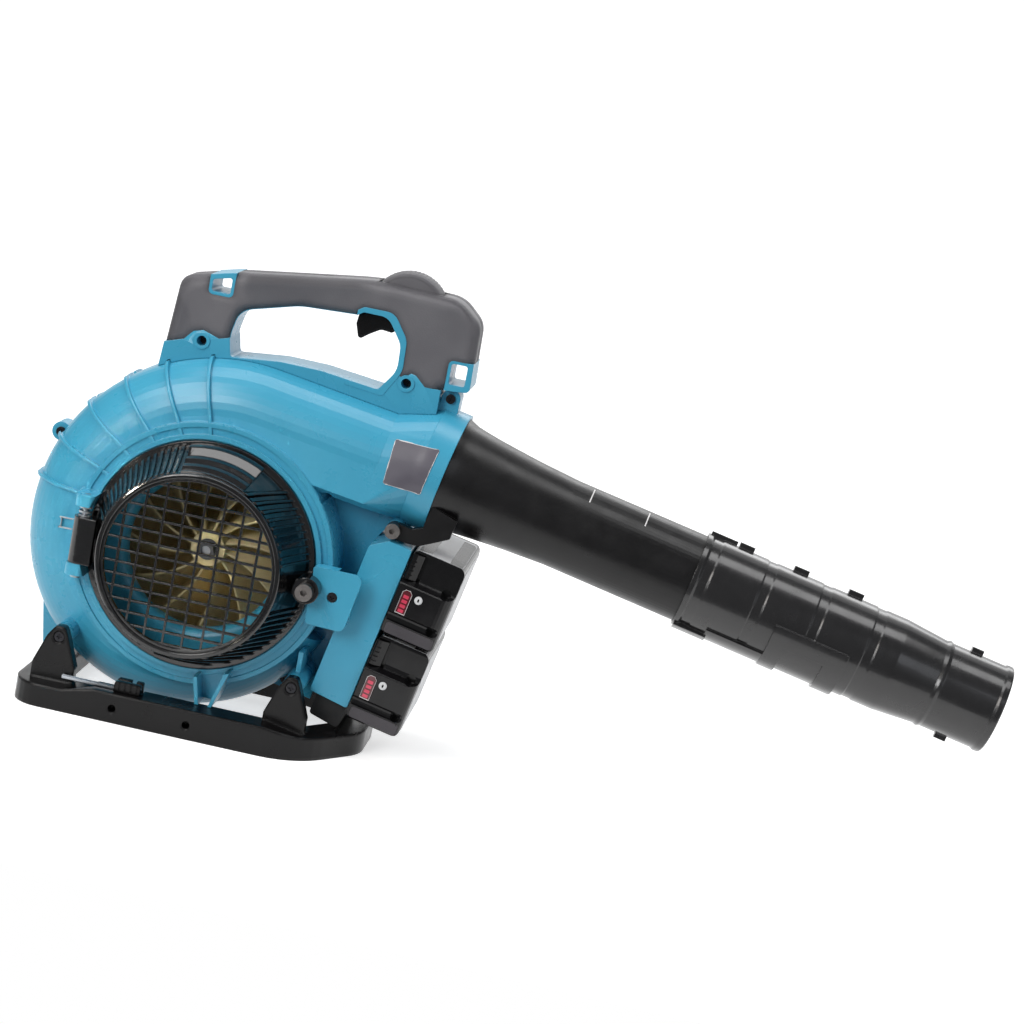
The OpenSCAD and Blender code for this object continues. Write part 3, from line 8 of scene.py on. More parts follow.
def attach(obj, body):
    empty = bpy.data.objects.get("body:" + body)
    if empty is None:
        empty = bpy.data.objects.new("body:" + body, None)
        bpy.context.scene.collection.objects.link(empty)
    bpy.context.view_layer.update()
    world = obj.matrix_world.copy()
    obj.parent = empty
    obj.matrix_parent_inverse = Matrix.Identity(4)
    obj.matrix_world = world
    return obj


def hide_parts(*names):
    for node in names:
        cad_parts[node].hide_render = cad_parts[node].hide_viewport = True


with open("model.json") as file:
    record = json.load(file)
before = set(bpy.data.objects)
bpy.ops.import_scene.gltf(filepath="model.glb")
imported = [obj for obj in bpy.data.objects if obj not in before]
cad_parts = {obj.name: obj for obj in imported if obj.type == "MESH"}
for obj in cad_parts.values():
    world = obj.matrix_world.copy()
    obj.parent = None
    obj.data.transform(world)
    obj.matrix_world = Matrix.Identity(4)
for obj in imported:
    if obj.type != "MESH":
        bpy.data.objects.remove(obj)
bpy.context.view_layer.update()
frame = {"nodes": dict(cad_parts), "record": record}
nodes = frame["nodes"]
print("stage: frame loaded,", len(nodes), "nodes")

# Settings of the pieces and their materials are in millimetres and degrees, so they are divided by
# 1000 where they reach Blender. The camera, the floor and the lamps are set in metres.

# Camera: the anchor is a place on the fan's axis, and anchorPixel is where the render shows it
camera = {
    "azimuth": 4.3, "elevation": 11.5, "roll": 11.3, "distance": 2.1127,
    "anchor": (0.0, -0.060, 0.146), "anchorPixel": (200.5, 555.1), "imageSize": 1024,
    "lens": 90, "sensor": 36, "farEnd": 50,
}
azimuth, elevation, roll = (math.radians(camera[k]) for k in ("azimuth", "elevation", "roll"))
back = Vector((math.sin(azimuth) * math.cos(elevation), -math.cos(azimuth) * math.cos(elevation),
               math.sin(elevation)))
level = Vector((0, 0, 1)).cross(back).normalized()
rise = back.cross(level)
across = level * math.cos(roll) + rise * math.sin(roll)
upward = rise * math.cos(roll) - level * math.sin(roll)
pixels = camera["lens"] / camera["sensor"] * camera["imageSize"]
offX = (camera["anchorPixel"][0] - camera["imageSize"] / 2) / pixels * camera["distance"]
offY = -(camera["anchorPixel"][1] - camera["imageSize"] / 2) / pixels * camera["distance"]
eye = Vector(camera["anchor"]) + back * camera["distance"] - across * offX - upward * offY
cameraData = bpy.data.cameras.new("camera")
cameraData.lens = camera["lens"]
cameraData.sensor_width = camera["sensor"]
cameraData.clip_end = camera["farEnd"]
cameraObject = bpy.data.objects.new("camera", cameraData)
cameraTurn = Matrix((across, upward, back)).transposed()
cameraObject.matrix_world = Matrix.Translation(eye) @ cameraTurn.to_4x4()
bpy.context.scene.collection.objects.link(cameraObject)
bpy.context.scene.camera = cameraObject
bpy.context.scene.view_settings.view_transform = "Standard"
print("stage: camera placed")


# Linear colour of an sRGB hex value
def srgb(hexText):
    values = [int(hexText[i:i + 2], 16) / 255 for i in (1, 3, 5)]
    return [v / 12.92 if v <= 0.04045 else ((v + 0.055) / 1.055) ** 2.4 for v in values] + [1]


# How often a pattern of this size comes in a metre
def repeats(sizeMm):
    return 1000 / sizeMm


def addNode(tree, kind, settings=None, links=None, **props):
    made = tree.nodes.new(kind)
    for name, value in props.items():
        setattr(made, name, value)
    for name, value in (settings or {}).items():
        made.inputs[name].default_value = value
    for name, source in (links or {}).items():
        tree.links.new(source, made.inputs[name])
    return made


def newMaterial(name, sockets):
    material = bpy.data.materials.new(name)
    material.use_nodes = True
    shader = material.node_tree.nodes["Principled BSDF"]
    for socket, value in sockets.items():
        shader.inputs[socket].default_value = value
    return material, material.node_tree, shader


# Moulded plastics: a slow change from colour to deep where the melt flowed (flowMm), small changes of
# roughness by rub from handling (rubMm), edges rounded in the shading (edgeMm), and the mould's grain
# (grainMm). Most real grain is finer than a tenth of a millimetre and would not show, so it is drawn
# as coarse as it needs to be, about a millimetre wide.
plasticFinish = {"flowSpan": (0.3, 0.7), "rubSpan": (0.3, 0.75), "coatRoughness": 0.05, "shine": 0.5,
                 "edgeSamples": 6}


def mouldedPlastic(name, look):
    material, tree, shader = newMaterial(name, {
        "Base Color": srgb(look["colour"]), "Roughness": look["roughness"], "IOR": look["ior"],
        "Coat Weight": look.get("coat", 0), "Coat Roughness": plasticFinish["coatRoughness"],
        "Specular IOR Level": look.get("shine", plasticFinish["shine"]),
    })
    place = addNode(tree, "ShaderNodeTexCoord").outputs["Object"]
    flow = addNode(tree, "ShaderNodeTexNoise", {
        "Scale": repeats(look["flowMm"]), "Detail": 3.0, "Roughness": 0.5}, {"Vector": place})
    low, high = plasticFinish["flowSpan"]
    flowSpan = addNode(tree, "ShaderNodeMapRange", {"From Min": low, "From Max": high},
                       {"Value": flow.outputs["Fac"]})
    shade = addNode(tree, "ShaderNodeMix", {6: srgb(look["deep"]), 7: srgb(look["colour"])},
                    {0: flowSpan.outputs["Result"]}, data_type="RGBA")
    tree.links.new(shade.outputs[2], shader.inputs["Base Color"])
    grain = addNode(tree, "ShaderNodeTexNoise", {
        "Scale": repeats(look["grainMm"]), "Detail": 2.0, "Roughness": 0.6}, {"Vector": place})
    handled = addNode(tree, "ShaderNodeTexNoise", {
        "Scale": repeats(look["rubMm"]), "Detail": 4.0, "Roughness": 0.65, "Distortion": 0.6},
        {"Vector": place})
    low, high = plasticFinish["rubSpan"]
    gloss = addNode(tree, "ShaderNodeMapRange", {
        "From Min": low, "From Max": high, "To Min": look["roughness"] - look["rub"],
        "To Max": look["roughness"] + look["rub"]}, {"Value": handled.outputs["Fac"]})
    tree.links.new(gloss.outputs["Result"], shader.inputs["Roughness"])
    edge = addNode(tree, "ShaderNodeBevel", {"Radius": look["edgeMm"] / 1000},
                   samples=plasticFinish["edgeSamples"])
    quarterGrain = look["grainMm"] / 4 / 1000
    bump = addNode(tree, "ShaderNodeBump", {"Strength": look["grainDepth"], "Distance": quarterGrain},
                   {"Height": grain.outputs["Fac"], "Normal": edge.outputs["Normal"]})
    tree.links.new(bump.outputs["Normal"], shader.inputs["Normal"])
    return material


# ABS of the housing and handle, from a spark-eroded mould: an even fine grain with a soft shine
housingAbs = {
    "colour": "#409fbf", "deep": "#3a97b7", "roughness": 0.3, "ior": 1.5, "flowMm": 90, "grainMm": 0.9,
    "rubMm": 38, "rub": 0.05, "grainDepth": 0.18, "edgeMm": 0.8,
}
# Thermoplastic elastomer moulded over the grip: dark grey, with a leathery grain and soft edges
gripElastomer = {
    "colour": "#666569", "deep": "#57565b", "roughness": 0.5, "ior": 1.5, "flowMm": 70, "grainMm": 1.2,
    "rubMm": 30, "rub": 0.06, "grainDepth": 0.6, "edgeMm": 9.0,
}
# Polyamide of the intake cover and grille, from a polished mould: near mirror gloss with soft waves
glossPolyamide = {
    "colour": "#0b0b0c", "deep": "#08080a", "roughness": 0.13, "ior": 1.53, "flowMm": 60, "grainMm": 5.0,
    "rubMm": 20, "rub": 0.05, "grainDepth": 0.12, "edgeMm": 1.4, "coat": 0.3,
}
# Polypropylene of the base frame, motor cover and trigger: black, smooth, a little waxy, with well
# rounded edges
basePolypropylene = {
    "colour": "#0e0d0e", "deep": "#0a090a", "roughness": 0.24, "shine": 0.25, "ior": 1.49, "flowMm": 60,
    "grainMm": 1.1, "rubMm": 24, "rub": 0.07, "grainDepth": 0.12, "edgeMm": 4.0,
}
# Glass-filled polyamide of the rear tube: charcoal, with a fine bloom of the fibres
tubePolyamide = {
    "colour": "#100f10", "deep": "#0c0b0c", "roughness": 0.34, "shine": 0.32, "ior": 1.53, "flowMm": 45,
    "grainMm": 1.0, "rubMm": 22, "rub": 0.07, "grainDepth": 0.26, "edgeMm": 0.6,
}
# Nozzle: the same polyamide from a polished mould, so its steps and tucks shine
nozzlePolyamide = {
    "colour": "#1b1a1b", "deep": "#161516", "roughness": 0.24, "ior": 1.53, "flowMm": 45, "grainMm": 1.0,
    "rubMm": 22, "rub": 0.06, "grainDepth": 0.12, "edgeMm": 1.3, "coat": 0.25,
}
# Pack shells: a blend of polycarbonate and ABS, black, with a fine grain
packBlend = {
    "colour": "#0e0d0f", "deep": "#0a0a0b", "roughness": 0.2, "shine": 0.3, "ior": 1.54, "flowMm": 40,
    "grainMm": 0.8, "rubMm": 18, "rub": 0.06, "grainDepth": 0.12, "edgeMm": 0.4,
}
# Gauge window: red acrylic, polished
gaugeAcrylic = {
    "colour": "#5e0d1a", "deep": "#520b17", "roughness": 0.2, "ior": 1.49, "flowMm": 20, "grainMm": 1.5,
    "rubMm": 6, "rub": 0.04, "grainDepth": 0.05, "edgeMm": 0.3, "coat": 0.5,
}
# Check button: white acetal with a silky surface
buttonAcetal = {
    "colour": "#d9dadb", "deep": "#d2d3d4", "roughness": 0.35, "ior": 1.48, "flowMm": 8, "grainMm": 0.6,
    "rubMm": 4, "rub": 0.05, "grainDepth": 0.1, "edgeMm": 0.3,
}
# Impeller: natural polyamide, tan, with pale streaks where it flowed
impellerPolyamide = {
    "colour": "#efe0b2", "deep": "#dfca92", "roughness": 0.34, "ior": 1.53, "flowMm": 26, "grainMm": 0.9,
    "rubMm": 16, "rub": 0.06, "grainDepth": 0.2, "edgeMm": 0.5,
}
# Buffer strip: EPDM rubber, matt black with a dusty bloom
bufferRubber = {
    "colour": "#1b1b1c", "deep": "#232324", "roughness": 0.82, "ior": 1.52, "flowMm": 18, "grainMm": 0.7,
    "rubMm": 12, "rub": 0.08, "grainDepth": 0.5, "edgeMm": 0.6,
}


# Metals: fine turning or rolling lines (lineMm) with patches that are shinier or duller (patchMm)
metalFinish = {"shinier": 0.08, "duller": 0.1, "lineHeightMm": 0.05, "edgeSamples": 6}


def finishedMetal(name, look):
    material, tree, shader = newMaterial(name, {
        "Base Color": srgb(look["colour"]), "Roughness": look["roughness"], "Metallic": look["metallic"],
    })
    place = addNode(tree, "ShaderNodeTexCoord").outputs["Object"]
    patches = addNode(tree, "ShaderNodeTexNoise", {"Scale": repeats(look["patchMm"]), "Detail": 3.0},
                      {"Vector": place})
    shade = addNode(tree, "ShaderNodeMix", {6: srgb(look["deep"]), 7: srgb(look["colour"])},
                    {0: patches.outputs["Fac"]}, data_type="RGBA")
    tree.links.new(shade.outputs[2], shader.inputs["Base Color"])
    gloss = addNode(tree, "ShaderNodeMapRange", {
        "To Min": look["roughness"] - metalFinish["shinier"],
        "To Max": look["roughness"] + metalFinish["duller"]}, {"Value": patches.outputs["Fac"]})
    tree.links.new(gloss.outputs["Result"], shader.inputs["Roughness"])
    lines = addNode(tree, "ShaderNodeTexWave", {
        "Scale": repeats(look["lineMm"]) / math.tau, "Distortion": 2.0, "Detail": 2.0,
        "Detail Scale": 3.0}, {"Vector": place}, bands_direction=look["linesAlong"])
    edge = addNode(tree, "ShaderNodeBevel", {"Radius": look["edgeMm"] / 1000},
                   samples=metalFinish["edgeSamples"])
    bump = addNode(tree, "ShaderNodeBump", {
        "Strength": look["lineDepth"], "Distance": metalFinish["lineHeightMm"] / 1000},
        {"Height": lines.outputs["Fac"], "Normal": edge.outputs["Normal"]})
    tree.links.new(bump.outputs["Normal"], shader.inputs["Normal"])
    return material


# Zinc-plated steel of the shaft, pins, bearings and hex key: bright, with a bluish passivation
zincSteel = {
    "colour": "#b9bdc2", "deep": "#9a9fa6", "roughness": 0.3, "metallic": 1.0, "patchMm": 2.5,
    "lineMm": 0.5, "linesAlong": "Z", "lineDepth": 0.3, "edgeMm": 0.2,
}
# Black-oxide steel of the screws: dark, with an oily sheen
oxideSteel = {
    "colour": "#3a3a3d", "deep": "#2c2c2f", "roughness": 0.34, "metallic": 1.0, "patchMm": 3.0,
    "lineMm": 0.5, "linesAlong": "X", "lineDepth": 0.3, "edgeMm": 0.25,
}
# Windings: enamelled copper over laminated iron, warm brown and half matt
copperWindings = {
    "colour": "#a35a30", "deep": "#7b3f22", "roughness": 0.4, "metallic": 0.9, "patchMm": 3.0,
    "lineMm": 1.0, "linesAlong": "Y", "lineDepth": 0.8, "edgeMm": 0.3,
}
# Phosphated steel of the two bolts: warm grey, half matt
boltPhosphate = dict(zincSteel, colour="#8f8a87", deep="#6e6a68", roughness=0.36)
# Zinc plate of the fan nut: darker and rougher than the other zinc plate
dullZinc = dict(zincSteel, colour="#6f7072", deep="#535557", roughness=0.42)

# Fibreglass circuit board with solder mask: woven base showing as a faint square pattern
boardMask = {"colour": "#14603a", "deep": "#115433", "roughness": 0.45, "ior": 1.55, "coat": 0.4,
             "coatRoughness": 0.2, "threadMm": 0.8, "weaveDepth": 0.3, "weaveHeightMm": 0.1}


def solderMaskBoard(name, look):
    material, tree, shader = newMaterial(name, {
        "Roughness": look["roughness"], "IOR": look["ior"], "Coat Weight": look["coat"],
        "Coat Roughness": look["coatRoughness"],
    })
    place = addNode(tree, "ShaderNodeTexCoord").outputs["Object"]
    weave = addNode(tree, "ShaderNodeTexChecker", {
        "Scale": repeats(look["threadMm"]), "Color1": srgb(look["colour"]), "Color2": srgb(look["deep"])},
        {"Vector": place})
    tree.links.new(weave.outputs["Color"], shader.inputs["Base Color"])
    bump = addNode(tree, "ShaderNodeBump", {
        "Strength": look["weaveDepth"], "Distance": look["weaveHeightMm"] / 1000},
        {"Height": weave.outputs["Fac"]})
    tree.links.new(bump.outputs["Normal"], shader.inputs["Normal"])
    return material


materials = {
    "teal_plastic": mouldedPlastic("mouldedAbsTeal", housingAbs),
    "grip_rubber": mouldedPlastic("mouldedElastomerGrey", gripElastomer),
    "black_gloss": mouldedPlastic("polishedPolyamideBlack", glossPolyamide),
    "black_plastic": mouldedPlastic("mouldedPolypropyleneBlack", basePolypropylene),
    "charcoal_plastic": mouldedPlastic("mouldedGlassFilledPolyamideCharcoal", tubePolyamide),
    "pack_plastic": mouldedPlastic("mouldedPcAbsBlack", packBlend),
    "gauge_red": mouldedPlastic("polishedAcrylicRed", gaugeAcrylic),
    "button_white": mouldedPlastic("mouldedAcetalWhite", buttonAcetal),
    "fan_plastic": mouldedPlastic("mouldedPolyamideNatural", impellerPolyamide),
    "black_rubber": mouldedPlastic("mouldedEpdmRubberBlack", bufferRubber),
    "steel": finishedMetal("zincPlatedSteel", zincSteel),
    "black_steel": finishedMetal("blackOxideSteel", oxideSteel),
    "windings": finishedMetal("enamelledCopperWindings", copperWindings),
    "board": solderMaskBoard("solderMaskedFibreglass", boardMask),
}
for part in frame["record"]["subparts"]:
    owner = nodes[part["node"]]
    owner.data.materials.clear()
    owner.data.materials.append(materials[part["material_slot"]])
boltSteel = finishedMetal("phosphatedSteelBolt", boltPhosphate)
ownFinish = {
    "cover_bolt": boltSteel,
    "tube_bolt": boltSteel,
    "fan_nut": finishedMetal("dullZincPlate", dullZinc),
    "front_nozzle": mouldedPlastic("polishedPolyamideCharcoal", nozzlePolyamide),
}
for name, finish in ownFinish.items():
    nodes[name].data.materials[0] = finish
print("stage: materials assigned")


# Printed film: a fine tooth in the lacquer, faint rubbing, and no lettering
filmLabel = {
    "colour": "#c9cacd", "deep": "#bfc0c4", "roughness": 0.34, "ior": 1.5, "flowMm": 30, "grainMm": 0.7,
    "rubMm": 9, "rub": 0.06, "grainDepth": 0.1, "edgeMm": 0.1,
}
# Anodised foil of the rating plate: mid grey, half matt
plateFoil = {
    "colour": "#5e5b64", "deep": "#57545d", "roughness": 0.4, "ior": 1.5, "flowMm": 24, "grainMm": 0.6,
    "rubMm": 8, "rub": 0.07, "grainDepth": 0.1, "edgeMm": 0.1,
}
# Screen ink of marks and borders
screenInk = {
    "colour": "#d8d6d6", "deep": "#cfcdcd", "roughness": 0.5, "ior": 1.5, "flowMm": 12, "grainMm": 0.5,
    "rubMm": 4, "rub": 0.08, "grainDepth": 0.15, "edgeMm": 0.05,
}
# Lit lamps behind the gauge's window: their glow is painted into a clear pinkish red colour, and they
# give off no light
paintedLampGlow = {
    "colour": "#d5405c", "deep": "#c83450", "roughness": 0.25, "ior": 1.49, "flowMm": 4, "grainMm": 0.6,
    "rubMm": 3, "rub": 0.04, "grainDepth": 0.05, "edgeMm": 0.2, "coat": 0.4,
}
# The packs' foot, left dull by a coarser spark-eroded part of the mould
dullBlend = dict(packBlend, colour="#474448", deep="#3f3c40", roughness=0.55, grainDepth=0.4)
dullGrey = mouldedPlastic("mouldedPcAbsGrey", dullBlend)
film = mouldedPlastic("printedPolyesterFilm", filmLabel)
foil = mouldedPlastic("anodisedFoilGrey", plateFoil)
ink = mouldedPlastic("screenInkWhite", screenInk)
ribPlastic = mouldedPlastic("mouldedAbsTealRibs", dict(housingAbs, edgeMm=0.6))
# Gauge lamps: a bright colour that stands in for their glow, as painted light
paintedGlowRed = mouldedPlastic("polishedAcrylicLampRed", paintedLampGlow)

# Places on the machine are given in its own frame: along the outlet, toward the motor side, and up
# across it. The machine slopes by tilt when it stands on its base.
machine = {"tilt": 11.4, "fanHeight": 146, "tubeUp": 133, "tubeRadius": 38,
           "packs": {"upper": 36.5, "lower": -42.5}}
fanCentre = Matrix.Translation((0, 0, machine["fanHeight"] / 1000))
machineFrame = fanCentre @ Matrix.Rotation(math.radians(machine["tilt"]), 4, "Y")
groundFrame = Matrix.Identity(4)
# Turns that make a flat sheet face the intake side, or the outlet
facingIntake = (90, 0, 0)
facingOutlet = (90, 0, 90)
# Shading is smooth below smoothAngle, points closer than mergeMm are merged, and edgeSteps round an edge
modelling = {"smoothAngle": 35, "mergeMm": 0.01, "edgeSteps": 2}


def pickOnly(piece):
    if bpy.context.mode != "OBJECT":
        bpy.ops.object.mode_set(mode="OBJECT")
    bpy.ops.object.select_all(action="DESELECT")
    if piece:
        piece.select_set(True)
        bpy.context.view_layer.objects.active = piece


def applyPlace():
    bpy.ops.object.transform_apply(location=True, rotation=True, scale=True)


def editAll():
    bpy.ops.object.mode_set(mode="EDIT")
    bpy.ops.mesh.select_all(action="SELECT")


def extrudeBy(way):
    bpy.ops.mesh.extrude_region_move(TRANSFORM_OT_translate={"value": way})


def mergeTouching(gapMm):
    bpy.ops.mesh.select_all(action="SELECT")
    bpy.ops.mesh.remove_doubles(threshold=gapMm / 1000)


def addModifier(piece, kind, **settings):
    pickOnly(piece)
    made = piece.modifiers.new(kind.lower(), kind)
    for name, value in settings.items():
        setattr(made, name, value)
    bpy.ops.object.modifier_apply(modifier=made.name)


def roundEdges(piece, widthMm):
    addModifier(piece, "BEVEL", width=widthMm / 1000, segments=modelling["edgeSteps"],
                limit_method="ANGLE")


# Apply the place, give the materials, and say what the piece rides on
def finishPiece(piece, body, slot, *surfaces):
    pickOnly(piece)
    applyPlace()
    for number, surface in enumerate(surfaces):
        if number < len(piece.data.materials):
            piece.data.materials[number] = surface
        else:
            piece.data.materials.append(surface)
    bpy.ops.object.shade_smooth_by_angle(angle=math.radians(modelling["smoothAngle"]))
    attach(piece, body)
    return piece


def placed(centre, turn, base=machineFrame):
    turned = Matrix.Identity(4)
    for angle, axis in zip(turn, "XYZ"):
        turned = Matrix.Rotation(math.radians(angle), 4, axis) @ turned
    return base @ Matrix.Translation([v / 1000 for v in centre]) @ turned


def rectangle(wide, high):
    return [(-wide, high), (wide, high), (wide, -high), (-wide, -high)]


# Sheets that are laid on a surface start oversize, and lift and cell hold where a piece names no other
sheet = {"oversize": 2.4, "lift": 0.05, "cell": 4, "cornerSteps": 5}


# A thin sheet cut to a convex outline, with round corners and a printed border, laid on a surface.
# It is cut into cells first, so that it can follow a curve.
def layLabel(name, look):
    pickOnly(None)
    outline = [Vector((x, y, 0)) / 1000 for x, y in look["outline"]]
    reach = sheet["oversize"] * max(p.length for p in outline)
    bpy.ops.mesh.primitive_plane_add(size=reach)
    label = bpy.context.object
    label.name = name
    bpy.ops.object.mode_set(mode="EDIT")
    for start, end in zip(outline, outline[1:] + outline[:1]):
        way = (end - start).normalized()
        bpy.ops.mesh.select_all(action="SELECT")
        bpy.ops.mesh.bisect(plane_co=start, plane_no=(-way.y, way.x, 0), clear_outer=True)
    bpy.ops.mesh.select_all(action="SELECT")
    if look.get("corner"):
        bpy.ops.mesh.bevel(affect="VERTICES", offset=look["corner"] / 1000, segments=sheet["cornerSteps"])
    if look.get("border"):
        bpy.ops.mesh.select_all(action="SELECT")
        bpy.ops.mesh.inset(thickness=look["border"] / 1000)
        cut = bmesh.from_edit_mesh(label.data)
        for face in cut.faces:
            face.material_index = 0 if face.select else 1
        bmesh.update_edit_mesh(label.data)
    step = look.get("cell", sheet["cell"]) / 1000
    lines = int(reach / step / 2)
    for line in range(-lines, lines + 1):
        for way in ((1, 0, 0), (0, 1, 0)):
            bpy.ops.mesh.select_all(action="SELECT")
            bpy.ops.mesh.bisect(plane_co=Vector(way) * step * line, plane_no=way)
    bpy.ops.object.mode_set(mode="OBJECT")
    label.matrix_world = look["place"]
    addModifier(label, "SHRINKWRAP", wrap_method="PROJECT", target=nodes[look["onto"]],
                use_project_z=True, use_negative_direction=True, use_positive_direction=False,
                offset=look.get("lift", sheet["lift"]) / 1000)
    if look.get("smooth"):
        addModifier(label, "SMOOTH", factor=0.5, iterations=look["smooth"])
    addModifier(label, "SOLIDIFY", thickness=look["thick"] / 1000, offset=1)
    return label


# Place of a label that is laid on from the intake side
def fromIntake(look, up):
    return placed((look["along"], look["frontY"] - look["clear"], up), facingIntake)


# A line drawn point by point, or a strip where the first edge goes from the path's start along across
def drawnStrip(name, path, across=None):
    pickOnly(None)
    bpy.ops.mesh.primitive_plane_add(location=path[0])
    strip = bpy.context.object
    strip.name = name
    applyPlace()
    bpy.ops.object.mode_set(mode="EDIT")
    cut = bmesh.from_edit_mesh(strip.data)
    start = [path[0]] + ([path[0] + across] if across else [])
    bmesh.ops.delete(cut, geom=cut.verts[len(start):], context="VERTS")
    for corner, spot in zip(cut.verts, start):
        corner.co = spot
    bmesh.update_edit_mesh(strip.data)
    bpy.ops.mesh.select_all(action="SELECT")
    for here, there in zip(path, path[1:]):
        extrudeBy(there - here)
    bpy.ops.object.mode_set(mode="OBJECT")
    return strip


# Turn what was drawn round the fan's axis, and close it
def spun(piece, turn, steps):
    pickOnly(piece)
    editAll()
    bpy.ops.mesh.spin(steps=steps, angle=math.radians(turn), center=(0, 0, 0), axis=(0, 1, 0))
    mergeTouching(modelling["mergeMm"])
    bpy.ops.mesh.normals_make_consistent(inside=False)
    bpy.ops.object.mode_set(mode="OBJECT")
    return piece


# Raised crests of the ribs on the round back of the housing, following the curve of the rim. The ribs
# point past the fan's axis, and solidUp is how far the shell's own ribs stand over its skin.
shellRibs = {
    "count": 6, "first": 117.5, "apart": 13.8, "pastAxis": 19, "thick": 2.8, "crest": 1.4, "solidUp": 2.2,
    "skirt": 4.2, "start": (98.6, 60.2), "faceEnd": 54.2, "rimFlat": 14, "roundReach": 44,
    "sweep": range(88, 14, -8), "edge": 0.5, "backRadius": 157,
    "topArc": {"before": 145, "radius": 167.5, "from": 150, "offCentre": -10.5},
}


# Path of one crest in the rib's own plane: outward from the fan's axis, and out of the parting plane
def ribPath(angle):
    arc = shellRibs["topArc"]
    onTop = angle < arc["before"]
    radius = arc["radius"] if onTop else shellRibs["backRadius"]
    centre = arc["offCentre"] if onTop else 0
    turn = math.radians(arc["from"] - angle)
    along, aside = centre * math.cos(turn), -centre * math.sin(turn)
    past = shellRibs["pastAxis"]

    def outward(reach):
        return along + math.sqrt(along ** 2 - past ** 2 + 2 * past * aside - centre ** 2 + reach ** 2)

    high = shellRibs["faceEnd"] + shellRibs["crest"] - shellRibs["rimFlat"]
    wide = shellRibs["roundReach"] + shellRibs["solidUp"] + shellRibs["crest"]
    path = [shellRibs["start"]]
    for step in shellRibs["sweep"]:
        lift = math.radians(step)
        path.append((outward(radius - shellRibs["roundReach"] + wide * math.cos(lift)),
                     shellRibs["rimFlat"] + high * math.sin(lift)))
    return [Vector((x, -z, 0)) / 1000 for x, z in path]


for number in range(shellRibs["count"]):
    angle = shellRibs["first"] + shellRibs["apart"] * number
    skirt = Vector((0, shellRibs["skirt"] / 1000, 0))
    rib = drawnStrip("shellRib%d" % (number + 1), ribPath(angle), skirt)
    turned = Matrix.Rotation(math.radians(-angle), 4, "Y")
    rib.matrix_world = machineFrame @ turned @ Matrix.Translation((0, 0, -shellRibs["pastAxis"] / 1000))
    addModifier(rib, "SOLIDIFY", thickness=shellRibs["thick"] / 1000, offset=0)
    roundEdges(rib, shellRibs["edge"])
    finishPiece(rib, "housing", "teal_plastic", ribPlastic)

# Smooth panel on top of the intake cover: broad steps, each leaning to the front, round the fan's axis.
# Its profile runs from the foot to the rim, as distance from the axis and height over the parting plane.
coverPanel = {
    "profile": [(94.4, 60.5), (92.6, 73), (91.8, 74.2), (86.6, 79.6), (86.0, 80.6), (85.7, 86.8),
                (85.1, 88.0), (82.6, 91.4), (82.0, 92.6), (81.3, 97.8), (80.8, 99.0), (78.8, 101.4),
                (78.2, 104.2)],
    "thick": 3.6, "from": 64, "turn": 40, "steps": 24, "edge": 0.35,
}
panelPath = [Vector((x, -z, 0)) / 1000 for x, z in coverPanel["profile"]]
panel = drawnStrip("coverPanel", panelPath, Vector((-coverPanel["thick"] / 1000, 0, 0)))
spun(panel, coverPanel["turn"], coverPanel["steps"])
panel.matrix_world = fanCentre @ Matrix.Rotation(math.radians(-coverPanel["from"]), 4, "Y")
roundEdges(panel, coverPanel["edge"])
finishPiece(panel, "cover", "black_gloss", materials["black_gloss"])

# Impeller: hub and back plate in one with leaning blades, whose broad faces show through the intake.
# Points are distance from the axis and height over the parting plane. A blade curls from rootR to tipR,
# leans more toward its front edge, and beyond sweepFrom that edge is swept back by up to tipBack.
impeller = {
    "hub": [(4.1, 33.8), (14.6, 33.8), (15.6, 22), (18, 4), (23, -14), (34, -26.5), (91.6, -27),
            (91.6, -30), (4.1, -30)],
    "steps": 64, "blades": 12, "rootR": 14, "tipR": 91, "back": -28, "front": 29, "curl": -40,
    "uncurl": 12, "lean": -24, "leanGrowth": 1.4, "sweepFrom": 50, "tipBack": 8, "cuts": 10,
    "rows": (0.33, 0.67), "thick": 2.0, "edge": 0.45,
}
hubPath = [Vector((x, -z, 0)) / 1000 for x, z in impeller["hub"] + impeller["hub"][:1]]
hub = spun(drawnStrip("impellerMoulding", hubPath), 360, impeller["steps"])
bladePath = []
for cut in range(impeller["cuts"] + 1):
    part = cut / impeller["cuts"]
    swing = math.radians(impeller["curl"] * part + impeller["uncurl"] * part ** 2)
    away = impeller["rootR"] + (impeller["tipR"] - impeller["rootR"]) * part
    bladePath.append(Vector((away * math.cos(swing), -impeller["back"], away * math.sin(swing))) / 1000)
deep = Vector((0, impeller["back"] - impeller["front"], 0)) / 1000
blade = drawnStrip("blade", bladePath, deep)
bpy.ops.object.mode_set(mode="EDIT")
for share in impeller["rows"]:
    bpy.ops.mesh.select_all(action="SELECT")
    bpy.ops.mesh.bisect(plane_co=bladePath[0] + deep * share, plane_no=(0, 1, 0))
form = bmesh.from_edit_mesh(blade.data)
for corner in form.verts:
    forward = (corner.co.y - bladePath[0].y) / deep.y
    reach = math.hypot(corner.co.x, corner.co.z) * 1000
    outer = max(0, (reach - impeller["sweepFrom"]) / (impeller["tipR"] - impeller["sweepFrom"]))
    leaning = math.radians(-impeller["lean"] * forward ** impeller["leanGrowth"])
    corner.co = Matrix.Rotation(leaning, 3, "Y") @ corner.co
    corner.co.y += forward * outer * impeller["tipBack"] / 1000
bmesh.update_edit_mesh(blade.data)
bpy.ops.object.mode_set(mode="OBJECT")
addModifier(blade, "SOLIDIFY", thickness=impeller["thick"] / 1000, offset=0)
roundEdges(blade, impeller["edge"])
moulded = [hub]
for number in range(impeller["blades"]):
    pickOnly(blade)
    if number:
        bpy.ops.object.duplicate()
    copy = bpy.context.object
    copy.rotation_euler.y = math.radians(360 / impeller["blades"] * number)
    applyPlace()
    moulded.append(copy)
pickOnly(hub)
for piece in moulded:
    piece.select_set(True)
bpy.ops.object.join()
